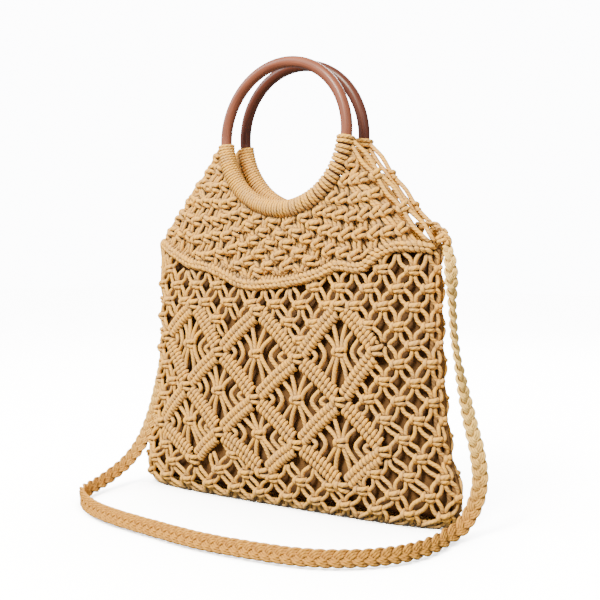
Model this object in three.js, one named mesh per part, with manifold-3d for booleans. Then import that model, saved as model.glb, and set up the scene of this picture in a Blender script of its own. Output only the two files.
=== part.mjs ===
// A macrame shoulder bag: a netted cord body with a lattice of diamonds, a dense knotted yoke
// hung on two wooden rings, a cloth lining and a braided shoulder strap.
// Millimetres, +Z up, front towards -Y. The origin is the middle of the base, on the floor.
import * as THREE from 'three';
import { mergeVertices } from 'three/addons/utils/BufferGeometryUtils.js';
import Module from 'manifold-3d';

const wasm = await Module();
wasm.setup();

// Driving dimensions
const CLEARANCE = 0.3;
const BODY_HALF_WIDTH = 181;
const BODY_HALF_DEPTH = 30;
const SHOULDER_HEIGHT = 255;
const BASE_THICKNESS = 5;
const NET_THICKNESS = 5;
const YOKE_THICKNESS = 5;
const LINING_THICKNESS = 1.2;
const LINING_HEIGHT = 236;
const LINING_CLEARANCE = 0.8;
const RING_RADIUS = 70;
const ROD_RADIUS = 5;
const RING_CENTRE_HEIGHT = 355;
const RING_SPACING = 31;
const RING_LEAN = 0.05;
const RING_SHIFT = 3.75;
const WRAP_THICKNESS = 3.2;
const WRAP_END_ANGLE = THREE.MathUtils.degToRad(4);
const WAVE_CORD_RADIUS = 4;
const WAVE_CORD_SINK = 0.8;
const YOKE_EDGE_SPREAD = 15;
const YOKE_EDGE_THICKNESS = 2.4;
const SHOULDER_KNOT_RADIUS = 9;
const RIGHT_KNOT_RISE = 1;
const LEFT_KNOT_RISE = 5;
const STRAP_RADIUS = 5.3;
const RIM_OVERLAP = 2.2;
const YOKE_FOOT_OVERLAP = 8;
const YOKE_CORNER_ANGLE = THREE.MathUtils.degToRad(1.5);

// Pattern of the net
const BAR_WIDTH = 9;
const BAR_RELIEF = 2.5;
const KNOT_WIDTH = 16;
const KNOT_HEIGHT = 9;
const NET_HALF_PITCH = 23;
const NET_ROW_PITCH = 20;
const HOLE_WIDTH = 12;
const HOLE_HEIGHT = 14;

// Body sections, as shares of the shoulder height, the half width and the half depth
const BODY_SECTIONS = [
  { up: 0.0, wide: 0.96, deep: 0.74 },
  { up: 0.047, wide: 0.99, deep: 0.93 },
  { up: 0.118, wide: 1.0, deep: 1.0 },
  { up: 0.235, wide: 0.972, deep: 1.0 },
  { up: 0.43, wide: 0.934, deep: 0.95 },
  { up: 0.667, wide: 0.917, deep: 0.87 },
  { up: 0.863, wide: 0.912, deep: 0.8 },
  { up: 1.0, wide: 0.9, deep: 0.767 },
];

// The wavy ridge between net and yoke, as shares of the half width and the shoulder height
const WAVE = [
  { along: -0.839, up: 0.988 },
  { along: -0.719, up: 0.949 },
  { along: -0.599, up: 0.914 },
  { along: -0.469, up: 0.9 },
  { along: -0.344, up: 0.869 },
  { along: -0.229, up: 0.837 },
  { along: -0.069, up: 0.835 },
  { along: 0.111, up: 0.851 },
  { along: 0.261, up: 0.875 },
  { along: 0.371, up: 0.906 },
  { along: 0.521, up: 0.902 },
  { along: 0.606, up: 0.949 },
  { along: 0.701, up: 0.973 },
  { along: 0.811, up: 0.973 },
  { along: 0.881, up: 0.965 },
];

// Crossings of the diamond lattice on the unrolled front, as shares of the half width and the
// shoulder height
const CROSSINGS = [
  { row: 0, column: -2, along: -0.569, up: 0.753 },
  { row: 0, column: 0, along: -0.112, up: 0.734 },
  { row: 0, column: 2, along: 0.396, up: 0.763 },
  { row: 1, column: -3, along: -0.792, up: 0.618 },
  { row: 1, column: -1, along: -0.374, up: 0.571 },
  { row: 1, column: 1, along: 0.151, up: 0.565 },
  { row: 1, column: 3, along: 0.612, up: 0.61 },
  { row: 2, column: -2, along: -0.61, up: 0.426 },
  { row: 2, column: 0, along: -0.119, up: 0.402 },
  { row: 2, column: 2, along: 0.414, up: 0.421 },
  { row: 3, column: -3, along: -0.831, up: 0.264 },
  { row: 3, column: -1, along: -0.363, up: 0.26 },
  { row: 3, column: 1, along: 0.158, up: 0.249 },
  { row: 3, column: 3, along: 0.665, up: 0.26 },
  { row: 4, column: -2, along: -0.547, up: 0.139 },
  { row: 4, column: 0, along: -0.055, up: 0.127 },
  { row: 4, column: 2, along: 0.438, up: 0.118 },
];
const DIAMONDS = [
  { row: 0, column: -2 },
  { row: 0, column: 0 },
  { row: 0, column: 2 },
  { row: 1, column: -1 },
  { row: 1, column: 1 },
  { row: 2, column: -2 },
  { row: 2, column: 0 },
  { row: 2, column: 2 },
];

// The strap's route, chosen by hand: down the right side, over the floor in front, and up
// behind the left side
const STRAP_ROUTE = [
  [169, -2.9, 249], [173, -5, 238], [175.2, -6.5, 222], [176.3, -7, 202], [179, -7, 167],
  [183.8, -7, 141], [193.8, -7, 98], [201.3, -8, 72], [204.6, -9, 50], [203, -12, 32],
  [199, -19.5, 17.5], [196.5, -33, 8.6], [195.2, -50, 5.8], [196.8, -70, 5.7], [194.8, -96, 5.7],
  [185.8, -122, 5.7], [163.8, -149, 5.7], [130.8, -168, 5.7], [84.8, -176, 5.7], [33.8, -178, 5.7],
  [-26.3, -171, 5.7], [-71.3, -164, 5.7], [-111.3, -153, 5.7], [-146.3, -134, 5.7],
  [-169.3, -112, 5.9], [-180.3, -85, 8], [-184.3, -60, 14.5], [-184.6, -36, 25], [-184.2, -15, 42],
  [-183.8, 1, 66], [-181, 10, 95], [-176.5, 17, 135], [-173, 19.5, 175], [-172, 18.5, 208],
  [-171.5, 13, 236], [-168, 4.3, 253],
];

const wrapRadius = ROD_RADIUS + CLEARANCE + WRAP_THICKNESS;
const yokeSeat = RING_RADIUS + wrapRadius - RIM_OVERLAP;
const yokeTop = RING_CENTRE_HEIGHT - yokeSeat * Math.sin(WRAP_END_ANGLE);
const yokeTopHalfWidth = yokeSeat * Math.cos(WRAP_END_ANGLE);
const shoulderHalfWidth = BODY_HALF_WIDTH * BODY_SECTIONS[BODY_SECTIONS.length - 1].wide;
const rightKnot = new THREE.Vector3(shoulderHalfWidth, 0, SHOULDER_HEIGHT + RIGHT_KNOT_RISE);
const leftKnot = new THREE.Vector3(-shoulderHalfWidth, 0, SHOULDER_HEIGHT + LEFT_KNOT_RISE);
const netBottom = BASE_THICKNESS + CLEARANCE;
const seam = CLEARANCE / 2;

// Depth of the ring's leaning plane at a height
function ringDepth(z) {
  return RING_SPACING / 2 + (RING_CENTRE_HEIGHT - z) * Math.tan(RING_LEAN);
}

// Middle, half width, half depth and edge depth of the outer surface at a height
function section(z) {
  if (z > SHOULDER_HEIGHT) {
    const t = Math.min(1, (z - SHOULDER_HEIGHT) / (yokeTop - SHOULDER_HEIGHT));
    return {
      middle: THREE.MathUtils.lerp(0, RING_SHIFT, t),
      wide: THREE.MathUtils.lerp(shoulderHalfWidth, yokeTopHalfWidth, t),
      deep: ringDepth(z) + YOKE_THICKNESS / 2,
      edge: THREE.MathUtils.lerp(seam, YOKE_EDGE_SPREAD, t),
    };
  }
  const share = Math.max(0, z / SHOULDER_HEIGHT);
  const above = Math.max(1, BODY_SECTIONS.findIndex((row) => row.up >= share));
  const low = BODY_SECTIONS[above - 1];
  const high = BODY_SECTIONS[above];
  const t = (share - low.up) / (high.up - low.up);
  return {
    middle: 0,
    wide: BODY_HALF_WIDTH * THREE.MathUtils.lerp(low.wide, high.wide, t),
    deep: BODY_HALF_DEPTH * THREE.MathUtils.lerp(low.deep, high.deep, t),
    edge: seam,
  };
}

// The heights of the body's sections between the base and a limit
function sectionHeights(limit) {
  return BODY_SECTIONS.map((row) => row.up * SHOULDER_HEIGHT)
    .filter((z) => z > netBottom + NET_THICKNESS && z < limit);
}

// A point of the front surface: turn runs from 0 at the right side to PI at the left side
function onSection(z, turn, inset = 0) {
  const { wide, deep, edge } = section(z);
  const c = Math.cos(turn);
  const x = (wide - inset) * Math.sign(c) * Math.sqrt(Math.abs(c));
  return new THREE.Vector3(x, -(edge + (deep - inset - edge) * Math.sin(turn)), z);
}

// The front surface's depth above a point of the X-Z plane
function frontDepth(x, z) {
  const { middle, wide, deep, edge } = section(z);
  const share = Math.min(1, Math.abs(x - middle) / wide);
  return -(edge + (deep - edge) * Math.sqrt(1 - share ** 4));
}

// A point at a length u along the front from its middle, at height z, and out of the surface
const ARC_STEPS = 60;
function alongFront(u, z) {
  let walked = 0;
  let before = onSection(z, Math.PI / 2);
  for (let i = 1; i <= ARC_STEPS; i++) {
    const turn = (Math.PI / 2) * (1 - (i / ARC_STEPS) ** 1.5);
    const next = onSection(z, turn);
    const step = next.distanceTo(before);
    if (walked + step >= Math.abs(u) || i === ARC_STEPS) {
      const point = before.clone().lerp(next, (Math.abs(u) - walked) / step);
      point.x *= Math.sign(u) || 1;
      return point;
    }
    walked += step;
    before = next;
  }
}

function outwards(u, z) {
  const probe = 1;
  const across = alongFront(u + probe, z).sub(alongFront(u - probe, z));
  const upwards = alongFront(u, z + probe).sub(alongFront(u, z - probe));
  return across.cross(upwards).normalize();
}

// Columns that lie closer together towards the sides: the share of the half width, and its turn
function shareAt(i, count) {
  return Math.sin((Math.PI / 2) * ((2 * i) / count - 1));
}

const BODY_COLUMNS = 12;
const columnTurns = Array.from({ length: BODY_COLUMNS + 1 }, (_, i) => {
  const share = shareAt(i, BODY_COLUMNS);
  return Math.acos(Math.sign(share) * share ** 2);
});

// Closed bodies from grids and rings of points
function bodyFrom(points, faces) {
  const geometry = new THREE.BufferGeometry();
  const positions = points.flatMap((p) => p.toArray());
  geometry.setAttribute('position', new THREE.Float32BufferAttribute(positions, 3));
  geometry.setIndex(faces.flat());
  return geometry;
}

// A sheet with an outer and an inner grid of points of the same rows and columns
function sheet(outer, inner) {
  const rows = outer.length;
  const columns = outer[0].length;
  const index = (side, r, c) => (side * rows + r) * columns + c;
  const faces = [];
  const quad = (a, b, c, d) => faces.push([a, b, c], [a, c, d]);
  for (let r = 0; r + 1 < rows; r++) {
    for (let c = 0; c + 1 < columns; c++) {
      quad(index(0, r, c), index(0, r, c + 1), index(0, r + 1, c + 1), index(0, r + 1, c));
      quad(index(1, r, c), index(1, r + 1, c), index(1, r + 1, c + 1), index(1, r, c + 1));
    }
    quad(index(0, r, 0), index(0, r + 1, 0), index(1, r + 1, 0), index(1, r, 0));
    const last = columns - 1;
    quad(index(0, r, last), index(1, r, last), index(1, r + 1, last), index(0, r + 1, last));
  }
  for (let c = 0; c + 1 < columns; c++) {
    const top = rows - 1;
    quad(index(0, 0, c), index(1, 0, c), index(1, 0, c + 1), index(0, 0, c + 1));
    quad(index(0, top, c), index(0, top, c + 1), index(1, top, c + 1), index(1, top, c));
  }
  return bodyFrom([...outer.flat(), ...inner.flat()], faces);
}

// A loft through rings of points, each seen anticlockwise from above, capped at both ends
function loft(rings) {
  const count = rings[0].length;
  const faces = [];
  for (let r = 0; r + 1 < rings.length; r++) {
    for (let i = 0; i < count; i++) {
      const j = (i + 1) % count;
      const a = r * count + i;
      const b = r * count + j;
      faces.push([a, b, b + count], [a, b + count, a + count]);
    }
  }
  const top = (rings.length - 1) * count;
  for (let i = 1; i + 1 < count; i++) {
    faces.push([0, i + 1, i], [top, top + i, top + i + 1]);
  }
  return bodyFrom(rings.flat(), faces);
}

function tube(curve, radius, sides, steps) {
  const outline = [];
  for (let i = 0; i < sides; i++) {
    const turn = (2 * Math.PI * i) / sides;
    outline.push(new THREE.Vector2(radius * Math.cos(turn), radius * Math.sin(turn)));
  }
  const options = { steps, extrudePath: curve, bevelEnabled: false };
  return new THREE.ExtrudeGeometry(new THREE.Shape(outline), options);
}

// Joins and cuts
function toSolid(geometry) {
  const bare = geometry.clone();
  bare.deleteAttribute('normal');
  bare.deleteAttribute('uv');
  const merged = mergeVertices(bare, 1e-4);
  return new wasm.Manifold(new wasm.Mesh({
    numProp: 3,
    vertProperties: new Float32Array(merged.attributes.position.array),
    triVerts: new Uint32Array(merged.index.array),
  }));
}

function toGeometry(solid) {
  const mesh = solid.getMesh();
  const geometry = new THREE.BufferGeometry();
  geometry.setAttribute('position', new THREE.Float32BufferAttribute(mesh.vertProperties, 3));
  geometry.setIndex(Array.from(mesh.triVerts));
  return geometry;
}

// The same body on the other side of the X-Z plane
function mirrored(geometry) {
  const other = geometry.index ? geometry.clone() : mergeVertices(geometry);
  other.deleteAttribute('normal');
  other.scale(1, -1, 1);
  const index = Array.from(other.index.array);
  for (let i = 0; i < index.length; i += 3) {
    [index[i], index[i + 1]] = [index[i + 1], index[i]];
  }
  other.setIndex(index);
  return other;
}

// The wavy ridge
const waveCurve = new THREE.CatmullRomCurve3(WAVE.map(({ along, up }) => {
  const x = along * BODY_HALF_WIDTH;
  const z = up * SHOULDER_HEIGHT;
  return new THREE.Vector3(x, frontDepth(x, z) + WAVE_CORD_SINK, z);
}));
const WAVE_STEPS = 24;
const waveSamples = waveCurve.getSpacedPoints(WAVE_STEPS);

function waveHeight(x) {
  const after = waveSamples.findIndex((p) => p.x >= x);
  if (after === 0) return waveSamples[0].z;
  if (after < 0) return waveSamples[waveSamples.length - 1].z;
  const low = waveSamples[after - 1];
  const high = waveSamples[after];
  return THREE.MathUtils.lerp(low.z, high.z, (x - low.x) / (high.x - low.x));
}

const waveGroove = toSolid(tube(waveCurve, WAVE_CORD_RADIUS + CLEARANCE, 6, WAVE_STEPS));

// Everything in front of the middle plane above the ridge, or with side -1 below it
function curtain(side) {
  const reach = 2 * BODY_HALF_WIDTH;
  const end = side > 0 ? RING_CENTRE_HEIGHT + RING_RADIUS : -RING_RADIUS;
  const edge = waveSamples.map((p) => new THREE.Vector2(p.x, p.z - side * RIM_OVERLAP));
  edge[0].x = -reach;
  edge[edge.length - 1].x = reach;
  const outline = [...edge, new THREE.Vector2(reach, end), new THREE.Vector2(-reach, end)];
  const options = { depth: reach, steps: 1, bevelEnabled: false };
  const body = new THREE.ExtrudeGeometry(new THREE.Shape(outline), options);
  return toSolid(body.rotateX(Math.PI / 2));
}

function knotBall(centre, radius) {
  const ball = new THREE.SphereGeometry(radius, 8, 6);
  ball.translate(centre.x, centre.y, centre.z);
  return ball;
}

const knotSeats = [rightKnot, leftKnot].map((centre) => (
  toSolid(knotBall(centre, SHOULDER_KNOT_RADIUS + CLEARANCE))
));

function clearOfKnots(solid) {
  return knotSeats.reduce((rest, seat) => rest.subtract(seat), solid);
}

function waveCord() {
  return toGeometry(clearOfKnots(toSolid(tube(waveCurve, WAVE_CORD_RADIUS, 6, WAVE_STEPS))));
}

// A body cut clear of the ridge and the shoulder knots, without the crumbs that the cuts leave
function seated(solid) {
  const cut = clearOfKnots(solid.subtract(waveGroove));
  return cut.decompose().reduce((best, body) => (body.volume() > best.volume() ? body : best));
}

// The net's front half: a wall with its gaps cut through and its lattice raised on it
function netWall() {
  const grid = (inset) => [netBottom, ...sectionHeights(SHOULDER_HEIGHT), SHOULDER_HEIGHT].map((z) => (
    columnTurns.map((turn) => onSection(z, turn, inset))
  ));
  return toSolid(sheet(grid(0), grid(NET_THICKNESS))).subtract(curtain(1));
}

// A flat polygon of the unrolled net, from one depth to another along its own outward direction,
// which is straight forwards on the flat middle of the net
const FLAT_REACH = 112;
function block(corners, from, to) {
  const total = corners.reduce(([a, b], [u, z]) => [a + u, b + z], [0, 0]);
  const [u, z] = total.map((sum) => sum / corners.length);
  const way = Math.abs(u) < FLAT_REACH ? new THREE.Vector3(0, -1, 0) : outwards(u, z);
  const at = (corner, out) => alongFront(...corner).addScaledVector(way, out);
  return toSolid(loft([from, to].map((out) => corners.map((corner) => at(corner, out)))));
}

function diamondShape(u, z, width, height) {
  return [[u - width / 2, z], [u, z - height / 2], [u + width / 2, z], [u, z + height / 2]];
}

function crossing(row, column) {
  const { along, up } = CROSSINGS.find((at) => at.row === row && at.column === column);
  return new THREE.Vector2(along * BODY_HALF_WIDTH, up * SHOULDER_HEIGHT);
}

// The corners of a diamond, its middle and its half width and half height
function diamond({ row, column }) {
  const top = crossing(row, column);
  const left = crossing(row + 1, column - 1);
  const right = crossing(row + 1, column + 1);
  const bottom = crossing(row + 2, column);
  const middle = new THREE.Vector2((left.x + right.x) / 2, (top.y + bottom.y) / 2);
  const half = new THREE.Vector2((right.x - left.x) / 2, (top.y - bottom.y) / 2);
  return { top, left, right, bottom, middle, half };
}

function latticeLines() {
  const lines = new Map();
  for (const place of DIAMONDS) {
    const { top, left, right, bottom } = diamond(place);
    for (const pair of [[top, left], [top, right], [left, bottom], [right, bottom]]) {
      lines.set(pair.map((at) => at.toArray().join()).join(' '), pair);
    }
  }
  return [...lines.values()];
}

const BAR_DEPTH = 2;
const BAR_END_SHARE = 0.75;
function latticeBar([start, end]) {
  const run = end.clone().sub(start).normalize();
  const side = run.clone().rotateAround(new THREE.Vector2(), Math.PI / 2).multiplyScalar(BAR_WIDTH / 2);
  const from = start.clone().addScaledVector(run, BAR_WIDTH * BAR_END_SHARE);
  const to = end.clone().addScaledVector(run, -BAR_WIDTH * BAR_END_SHARE);
  const corners = [
    from.clone().add(side), from.clone().sub(side), to.clone().sub(side), to.clone().add(side),
  ];
  return block(corners.map((corner) => corner.toArray()), -BAR_DEPTH, BAR_RELIEF);
}

function distanceToLine(point, [start, end]) {
  const run = end.clone().sub(start);
  const t = THREE.MathUtils.clamp(point.clone().sub(start).dot(run) / run.lengthSq(), 0, 1);
  return start.clone().addScaledVector(run, t).distanceTo(point);
}

function insideDiamond(point) {
  return DIAMONDS.some((place) => {
    const { middle, half } = diamond(place);
    return Math.abs(point.y - middle.y) / half.y + Math.abs(point.x - middle.x) / half.x < 1;
  });
}

// Four gaps round the middle knot of each diamond, and the open mesh of the net round them
const GAP_REACH = 0.58;
const DIAMOND_GAP_GROWTH = 1.2;
const NET_HOLE_MARGIN = 13;
const NET_HALF_LENGTH = 155;
const NET_HOLE_BOTTOM = 24;
const NET_HOLE_TOP_MARGIN = 16;
function netGaps(lines) {
  const gaps = [];
  const [wide, high] = [HOLE_WIDTH * DIAMOND_GAP_GROWTH, HOLE_HEIGHT * DIAMOND_GAP_GROWTH];
  for (const place of DIAMONDS) {
    const { top, left, right, bottom, middle } = diamond(place);
    for (const corner of [top, bottom, left, right]) {
      const at = middle.clone().lerp(corner, GAP_REACH);
      gaps.push(diamondShape(at.x, at.y, wide, high));
    }
  }
  const rows = Math.floor((SHOULDER_HEIGHT - NET_HOLE_BOTTOM) / NET_ROW_PITCH);
  const columns = Math.floor(NET_HALF_LENGTH / NET_HALF_PITCH);
  for (let j = 0; j <= rows; j++) {
    const z = NET_HOLE_BOTTOM + j * NET_ROW_PITCH;
    for (let i = -columns; i <= columns; i++) {
      const hole = new THREE.Vector2(i * NET_HALF_PITCH, z);
      const onGrid = (i + j) % 2 === 0;
      const underWave = z < waveHeight(hole.x) - NET_HOLE_TOP_MARGIN;
      const clear = lines.every((line) => distanceToLine(hole, line) > NET_HOLE_MARGIN);
      if (onGrid && underWave && clear && !insideDiamond(hole)) {
        gaps.push(diamondShape(hole.x, hole.y, HOLE_WIDTH, HOLE_HEIGHT));
      }
    }
  }
  return gaps;
}

const CUT_OVERRUN = 3;
function netHalf() {
  const lines = latticeLines();
  let wall = netWall();
  for (const gap of netGaps(lines)) {
    wall = wall.subtract(block(gap, -NET_THICKNESS - CUT_OVERRUN, CUT_OVERRUN));
  }
  for (const line of lines) {
    wall = wall.add(latticeBar(line));
  }
  for (const place of DIAMONDS) {
    const { middle } = diamond(place);
    const half = [KNOT_WIDTH / 2, KNOT_HEIGHT / 2];
    const corners = [[-1, -1], [1, -1], [1, 1], [-1, 1]].map(([a, b]) => (
      [middle.x + a * half[0], middle.y + b * half[1]]
    ));
    wall = wall.add(block(corners, -BAR_DEPTH, BAR_RELIEF));
  }
  return toGeometry(seated(wall));
}

// The wooden ring and the cord wound round its lower half
const ROD_SIDES = 8;
const RING_STEPS = 26;
function ringBody(rodRadius) {
  const ring = new THREE.TorusGeometry(RING_RADIUS, rodRadius, ROD_SIDES, RING_STEPS);
  ring.rotateX(Math.PI / 2 - RING_LEAN);
  ring.translate(RING_SHIFT, -RING_SPACING / 2, RING_CENTRE_HEIGHT);
  return ring;
}

const WRAP_STEPS = 12;
const wrapArc = new THREE.CatmullRomCurve3(Array.from({ length: WRAP_STEPS + 1 }, (_, i) => {
  const turn = -Math.PI / 2 + (Math.PI / 2 - WRAP_END_ANGLE) * ((2 * i) / WRAP_STEPS - 1);
  const drop = RING_RADIUS * Math.sin(turn);
  return new THREE.Vector3(
    RING_SHIFT + RING_RADIUS * Math.cos(turn),
    -RING_SPACING / 2 + drop * Math.sin(RING_LEAN),
    RING_CENTRE_HEIGHT + drop * Math.cos(RING_LEAN),
  );
}));

function ringWrap() {
  const cord = toSolid(tube(wrapArc, wrapRadius, ROD_SIDES, WRAP_STEPS));
  return toGeometry(cord.subtract(toSolid(ringBody(ROD_RADIUS + CLEARANCE))));
}

// The yoke's front half: a fan from the wound part of the ring down to the wavy ridge
const YOKE_COLUMNS = 14;
const YOKE_ROWS = 3;
function yokeHalf() {
  const outer = [];
  const inner = [];
  for (let r = 0; r <= YOKE_ROWS; r++) {
    const outerRow = [];
    const innerRow = [];
    for (let i = 0; i <= YOKE_COLUMNS; i++) {
      const share = shareAt(i, YOKE_COLUMNS);
      const bottom = waveHeight(shoulderHalfWidth * share) - YOKE_FOOT_OVERLAP;
      const foot = new THREE.Vector2(section(bottom).wide * share, bottom);
      const angle = share * (Math.PI / 2 - WRAP_END_ANGLE - YOKE_CORNER_ANGLE);
      const head = new THREE.Vector2(
        RING_SHIFT + yokeSeat * Math.sin(angle),
        RING_CENTRE_HEIGHT - yokeSeat * Math.cos(angle) * Math.cos(RING_LEAN),
      );
      const at = foot.lerp(head, r / YOKE_ROWS);
      const depth = Math.min(-seam - YOKE_EDGE_THICKNESS, frontDepth(at.x, at.y));
      outerRow.push(new THREE.Vector3(at.x, depth, at.y));
      innerRow.push(new THREE.Vector3(at.x, Math.min(-seam, depth + YOKE_THICKNESS), at.y));
    }
    outer.push(outerRow);
    inner.push(innerRow);
  }
  const wrapSeat = toSolid(tube(wrapArc, wrapRadius + CLEARANCE, ROD_SIDES, WRAP_STEPS));
  const fan = toSolid(sheet(outer, inner)).subtract(curtain(-1));
  return toGeometry(seated(fan.subtract(wrapSeat)));
}

// Whole-bag rings of points for the base and the lining
function loop(z, inset) {
  const front = columnTurns.map((turn) => onSection(z, turn, inset));
  const back = front.slice(1, -1).reverse().map((p) => new THREE.Vector3(p.x, -p.y, p.z));
  return [...front, ...back];
}

function liningPouch() {
  const outset = NET_THICKNESS + LINING_CLEARANCE;
  const inset = outset + LINING_THICKNESS;
  const heights = sectionHeights(LINING_HEIGHT);
  const outer = [netBottom, ...heights, LINING_HEIGHT].map((z) => loop(z, outset));
  const down = [LINING_HEIGHT, ...heights.reverse(), netBottom + LINING_THICKNESS];
  const inner = down.map((z) => loop(z, inset));
  return loft([...outer, ...inner]);
}

// Finishes
const cordFinish = { color: 0xdcc094, roughness: 0.85, metalness: 0 };
const woodFinish = { color: 0x8a4a28, roughness: 0.35, metalness: 0 };
const clothFinish = { color: 0x93765a, roughness: 0.9, metalness: 0 };
const strapFinish = { color: 0xd2a56c, roughness: 0.8, metalness: 0 };

const bag = new THREE.Group();
function piece(name, geometry, finish) {
  const mesh = new THREE.Mesh(geometry, new THREE.MeshStandardMaterial(finish));
  mesh.name = name;
  bag.add(mesh);
}

function pair(name, geometry, finish) {
  piece(`front_${name}`, geometry, finish);
  piece(`back_${name}`, mirrored(geometry), finish);
}

pair('ring', ringBody(ROD_RADIUS), woodFinish);
pair('ring_wrap', ringWrap(), cordFinish);
pair('yoke', yokeHalf(), cordFinish);
pair('wave_cord', waveCord(), cordFinish);
pair('net', netHalf(), cordFinish);
piece('base_net', loft([loop(0, 0), loop(BASE_THICKNESS, 0)]), cordFinish);
piece('lining_pouch', liningPouch(), clothFinish);
piece('right_shoulder_knot', knotBall(rightKnot, SHOULDER_KNOT_RADIUS), cordFinish);
piece('left_shoulder_knot', knotBall(leftKnot, SHOULDER_KNOT_RADIUS), cordFinish);

const STRAP_STEPS = 42;
const strapCurve = new THREE.CatmullRomCurve3(STRAP_ROUTE.map((point) => new THREE.Vector3(...point)));
piece('shoulder_strap', tube(strapCurve, STRAP_RADIUS, 8, STRAP_STEPS), strapFinish);

export default bag;
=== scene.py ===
# %% [markdown]
# # A knotted shoulder bag with two ring handles
# The bag is macrame: one kind of soft cotton cord, hung on two wooden rings and tied by hand into
# square knots and half hitches. The solid model gives the bag's shape and size. Here every cord is
# laid over that shape one by one, because in macrame the cords are the surface.

# %% Load the frame
import math
import random

import bmesh
import bpy
import numpy as np
from mathutils import Matrix, Vector


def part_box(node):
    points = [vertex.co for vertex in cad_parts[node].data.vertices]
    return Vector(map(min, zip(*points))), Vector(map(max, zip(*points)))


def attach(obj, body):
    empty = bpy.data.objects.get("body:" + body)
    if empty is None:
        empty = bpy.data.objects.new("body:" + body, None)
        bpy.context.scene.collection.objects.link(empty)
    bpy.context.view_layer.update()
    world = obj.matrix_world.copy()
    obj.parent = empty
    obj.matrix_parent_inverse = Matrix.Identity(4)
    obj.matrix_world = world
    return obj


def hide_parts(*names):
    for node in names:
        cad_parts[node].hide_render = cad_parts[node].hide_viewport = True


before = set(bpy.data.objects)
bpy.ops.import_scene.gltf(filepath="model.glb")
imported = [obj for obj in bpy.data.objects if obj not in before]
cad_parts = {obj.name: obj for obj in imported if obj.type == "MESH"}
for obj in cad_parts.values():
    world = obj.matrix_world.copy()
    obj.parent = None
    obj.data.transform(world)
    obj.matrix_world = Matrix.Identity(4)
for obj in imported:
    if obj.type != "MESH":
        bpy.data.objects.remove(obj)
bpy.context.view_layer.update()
print("nodes:", len(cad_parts))

# %% [markdown]
# ## Camera
# The camera is made first. It stands in front of the bag and to its right, about as high as the
# shoulders, and looks 34.5 degrees to the left, so the front and a little of the right side show.

# %% Camera
camera_data = bpy.data.cameras.new("view_camera")
camera_data.lens = 59.9
camera_data.sensor_width = 36.0
camera = bpy.data.objects.new("view_camera", camera_data)
camera.location = (0.55744, -0.79433, 0.23628)
camera.rotation_euler = (math.radians(87.73), 0.0, math.radians(34.5))
bpy.context.collection.objects.link(camera)
bpy.context.scene.camera = camera
print("camera lens", camera_data.lens)

# %% [markdown]
# ## A finish is a small graph of nodes
# A material's patterns are sums and products of noise, so it helps to write them as sums and
# products. This class holds one output socket. Adding or multiplying it adds a Math node.


# %% A socket that can be added and multiplied
class Value:
    def __init__(self, finish, socket):
        self.finish = finish
        self.socket = socket

    def math(self, operation, *values):
        return self.finish.node("ShaderNodeMath", {"operation": operation}, dict(enumerate(values)))

    def __add__(self, other):
        return self.math("ADD", self, other)

    def __sub__(self, other):
        return self.math("SUBTRACT", self, other)

    def __mul__(self, other):
        return self.math("MULTIPLY", self, other)

    def sine(self):
        return self.math("SINE", self)

    def clamped(self):
        return self.finish.node(
            "ShaderNodeMath", {"operation": "MULTIPLY", "use_clamp": True}, {0: self, 1: 1.0}
        )


# %% A finish that builds its own nodes
class Finish:
    def __init__(self, name, **constants):
        self.material = bpy.data.materials.new(name)
        self.material.use_nodes = True
        self.tree = self.material.node_tree
        self.shader = self.tree.nodes["Principled BSDF"]
        for socket, value in constants.items():
            self.shader.inputs[socket.replace("_", " ")].default_value = value

    def node(self, kind, settings=None, inputs=None, output=0):
        made = self.tree.nodes.new(kind)
        for name, value in (settings or {}).items():
            setattr(made, name, value)
        for name, value in (inputs or {}).items():
            self.feed(made.inputs[name], value)
        return Value(self, made.outputs[output])

    def feed(self, socket, value):
        if isinstance(value, Value):
            self.tree.links.new(value.socket, socket)
        else:
            socket.default_value = value

    def set(self, name, value):
        self.feed(self.shader.inputs[name], value)

    def place(self):
        """Where a point lies in the object's own space."""
        return self.node("ShaderNodeTexCoord", output=3)

    def stored(self, name):
        """A vector that is stored with the mesh."""
        return self.node("ShaderNodeAttribute", {"attribute_name": name}, output=1)

    def noise(self, place, scale, detail, roughness=0.5):
        inputs = {"Vector": place, "Scale": scale, "Detail": detail, "Roughness": roughness}
        return self.node("ShaderNodeTexNoise", {}, inputs)

    def mixed(self, factor, first, second):
        inputs = {0: factor, 6: first, 7: second}
        return self.node("ShaderNodeMix", {"data_type": "RGBA"}, inputs, output=2)

    def parts(self, vector):
        """The three numbers of a vector."""
        split = self.node("ShaderNodeSeparateXYZ", {}, {0: vector}).socket.node
        return [Value(self, socket) for socket in split.outputs]

    def painted_shade_mask(self, distance):
        """A painted shade mask: 1 in the open and less towards crevices, from how much a point is shut
        in.
        """
        made = {"samples": 8, "only_local": False}
        return self.node("ShaderNodeAmbientOcclusion", made, {"Distance": distance}, output=1)

    def bumped(self, height, distance, strength):
        inputs = {"Height": height, "Distance": distance, "Strength": strength}
        self.set("Normal", self.node("ShaderNodeBump", {}, inputs))


# %% [markdown]
# ## The bag's outer surface
# The body is a soft pouch: flat in the middle, rounded at the sides, a little narrower at the top,
# and it swells just above the base, where the weight of the cords settles. Above the shoulders the
# front and the back lean towards their rings. All cords are laid out on a flat plan, as distance
# round the bag and height, and this surface turns the plan into space. Cords could be wrapped onto a
# mesh by a modifier instead, but a table of points is quick for thousands of them, and one look-up
# serves the front and the back. Each section gives a height, a half width and a half depth, as
# shares of the shoulder height, the base's half width and the pouch's half depth.

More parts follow.
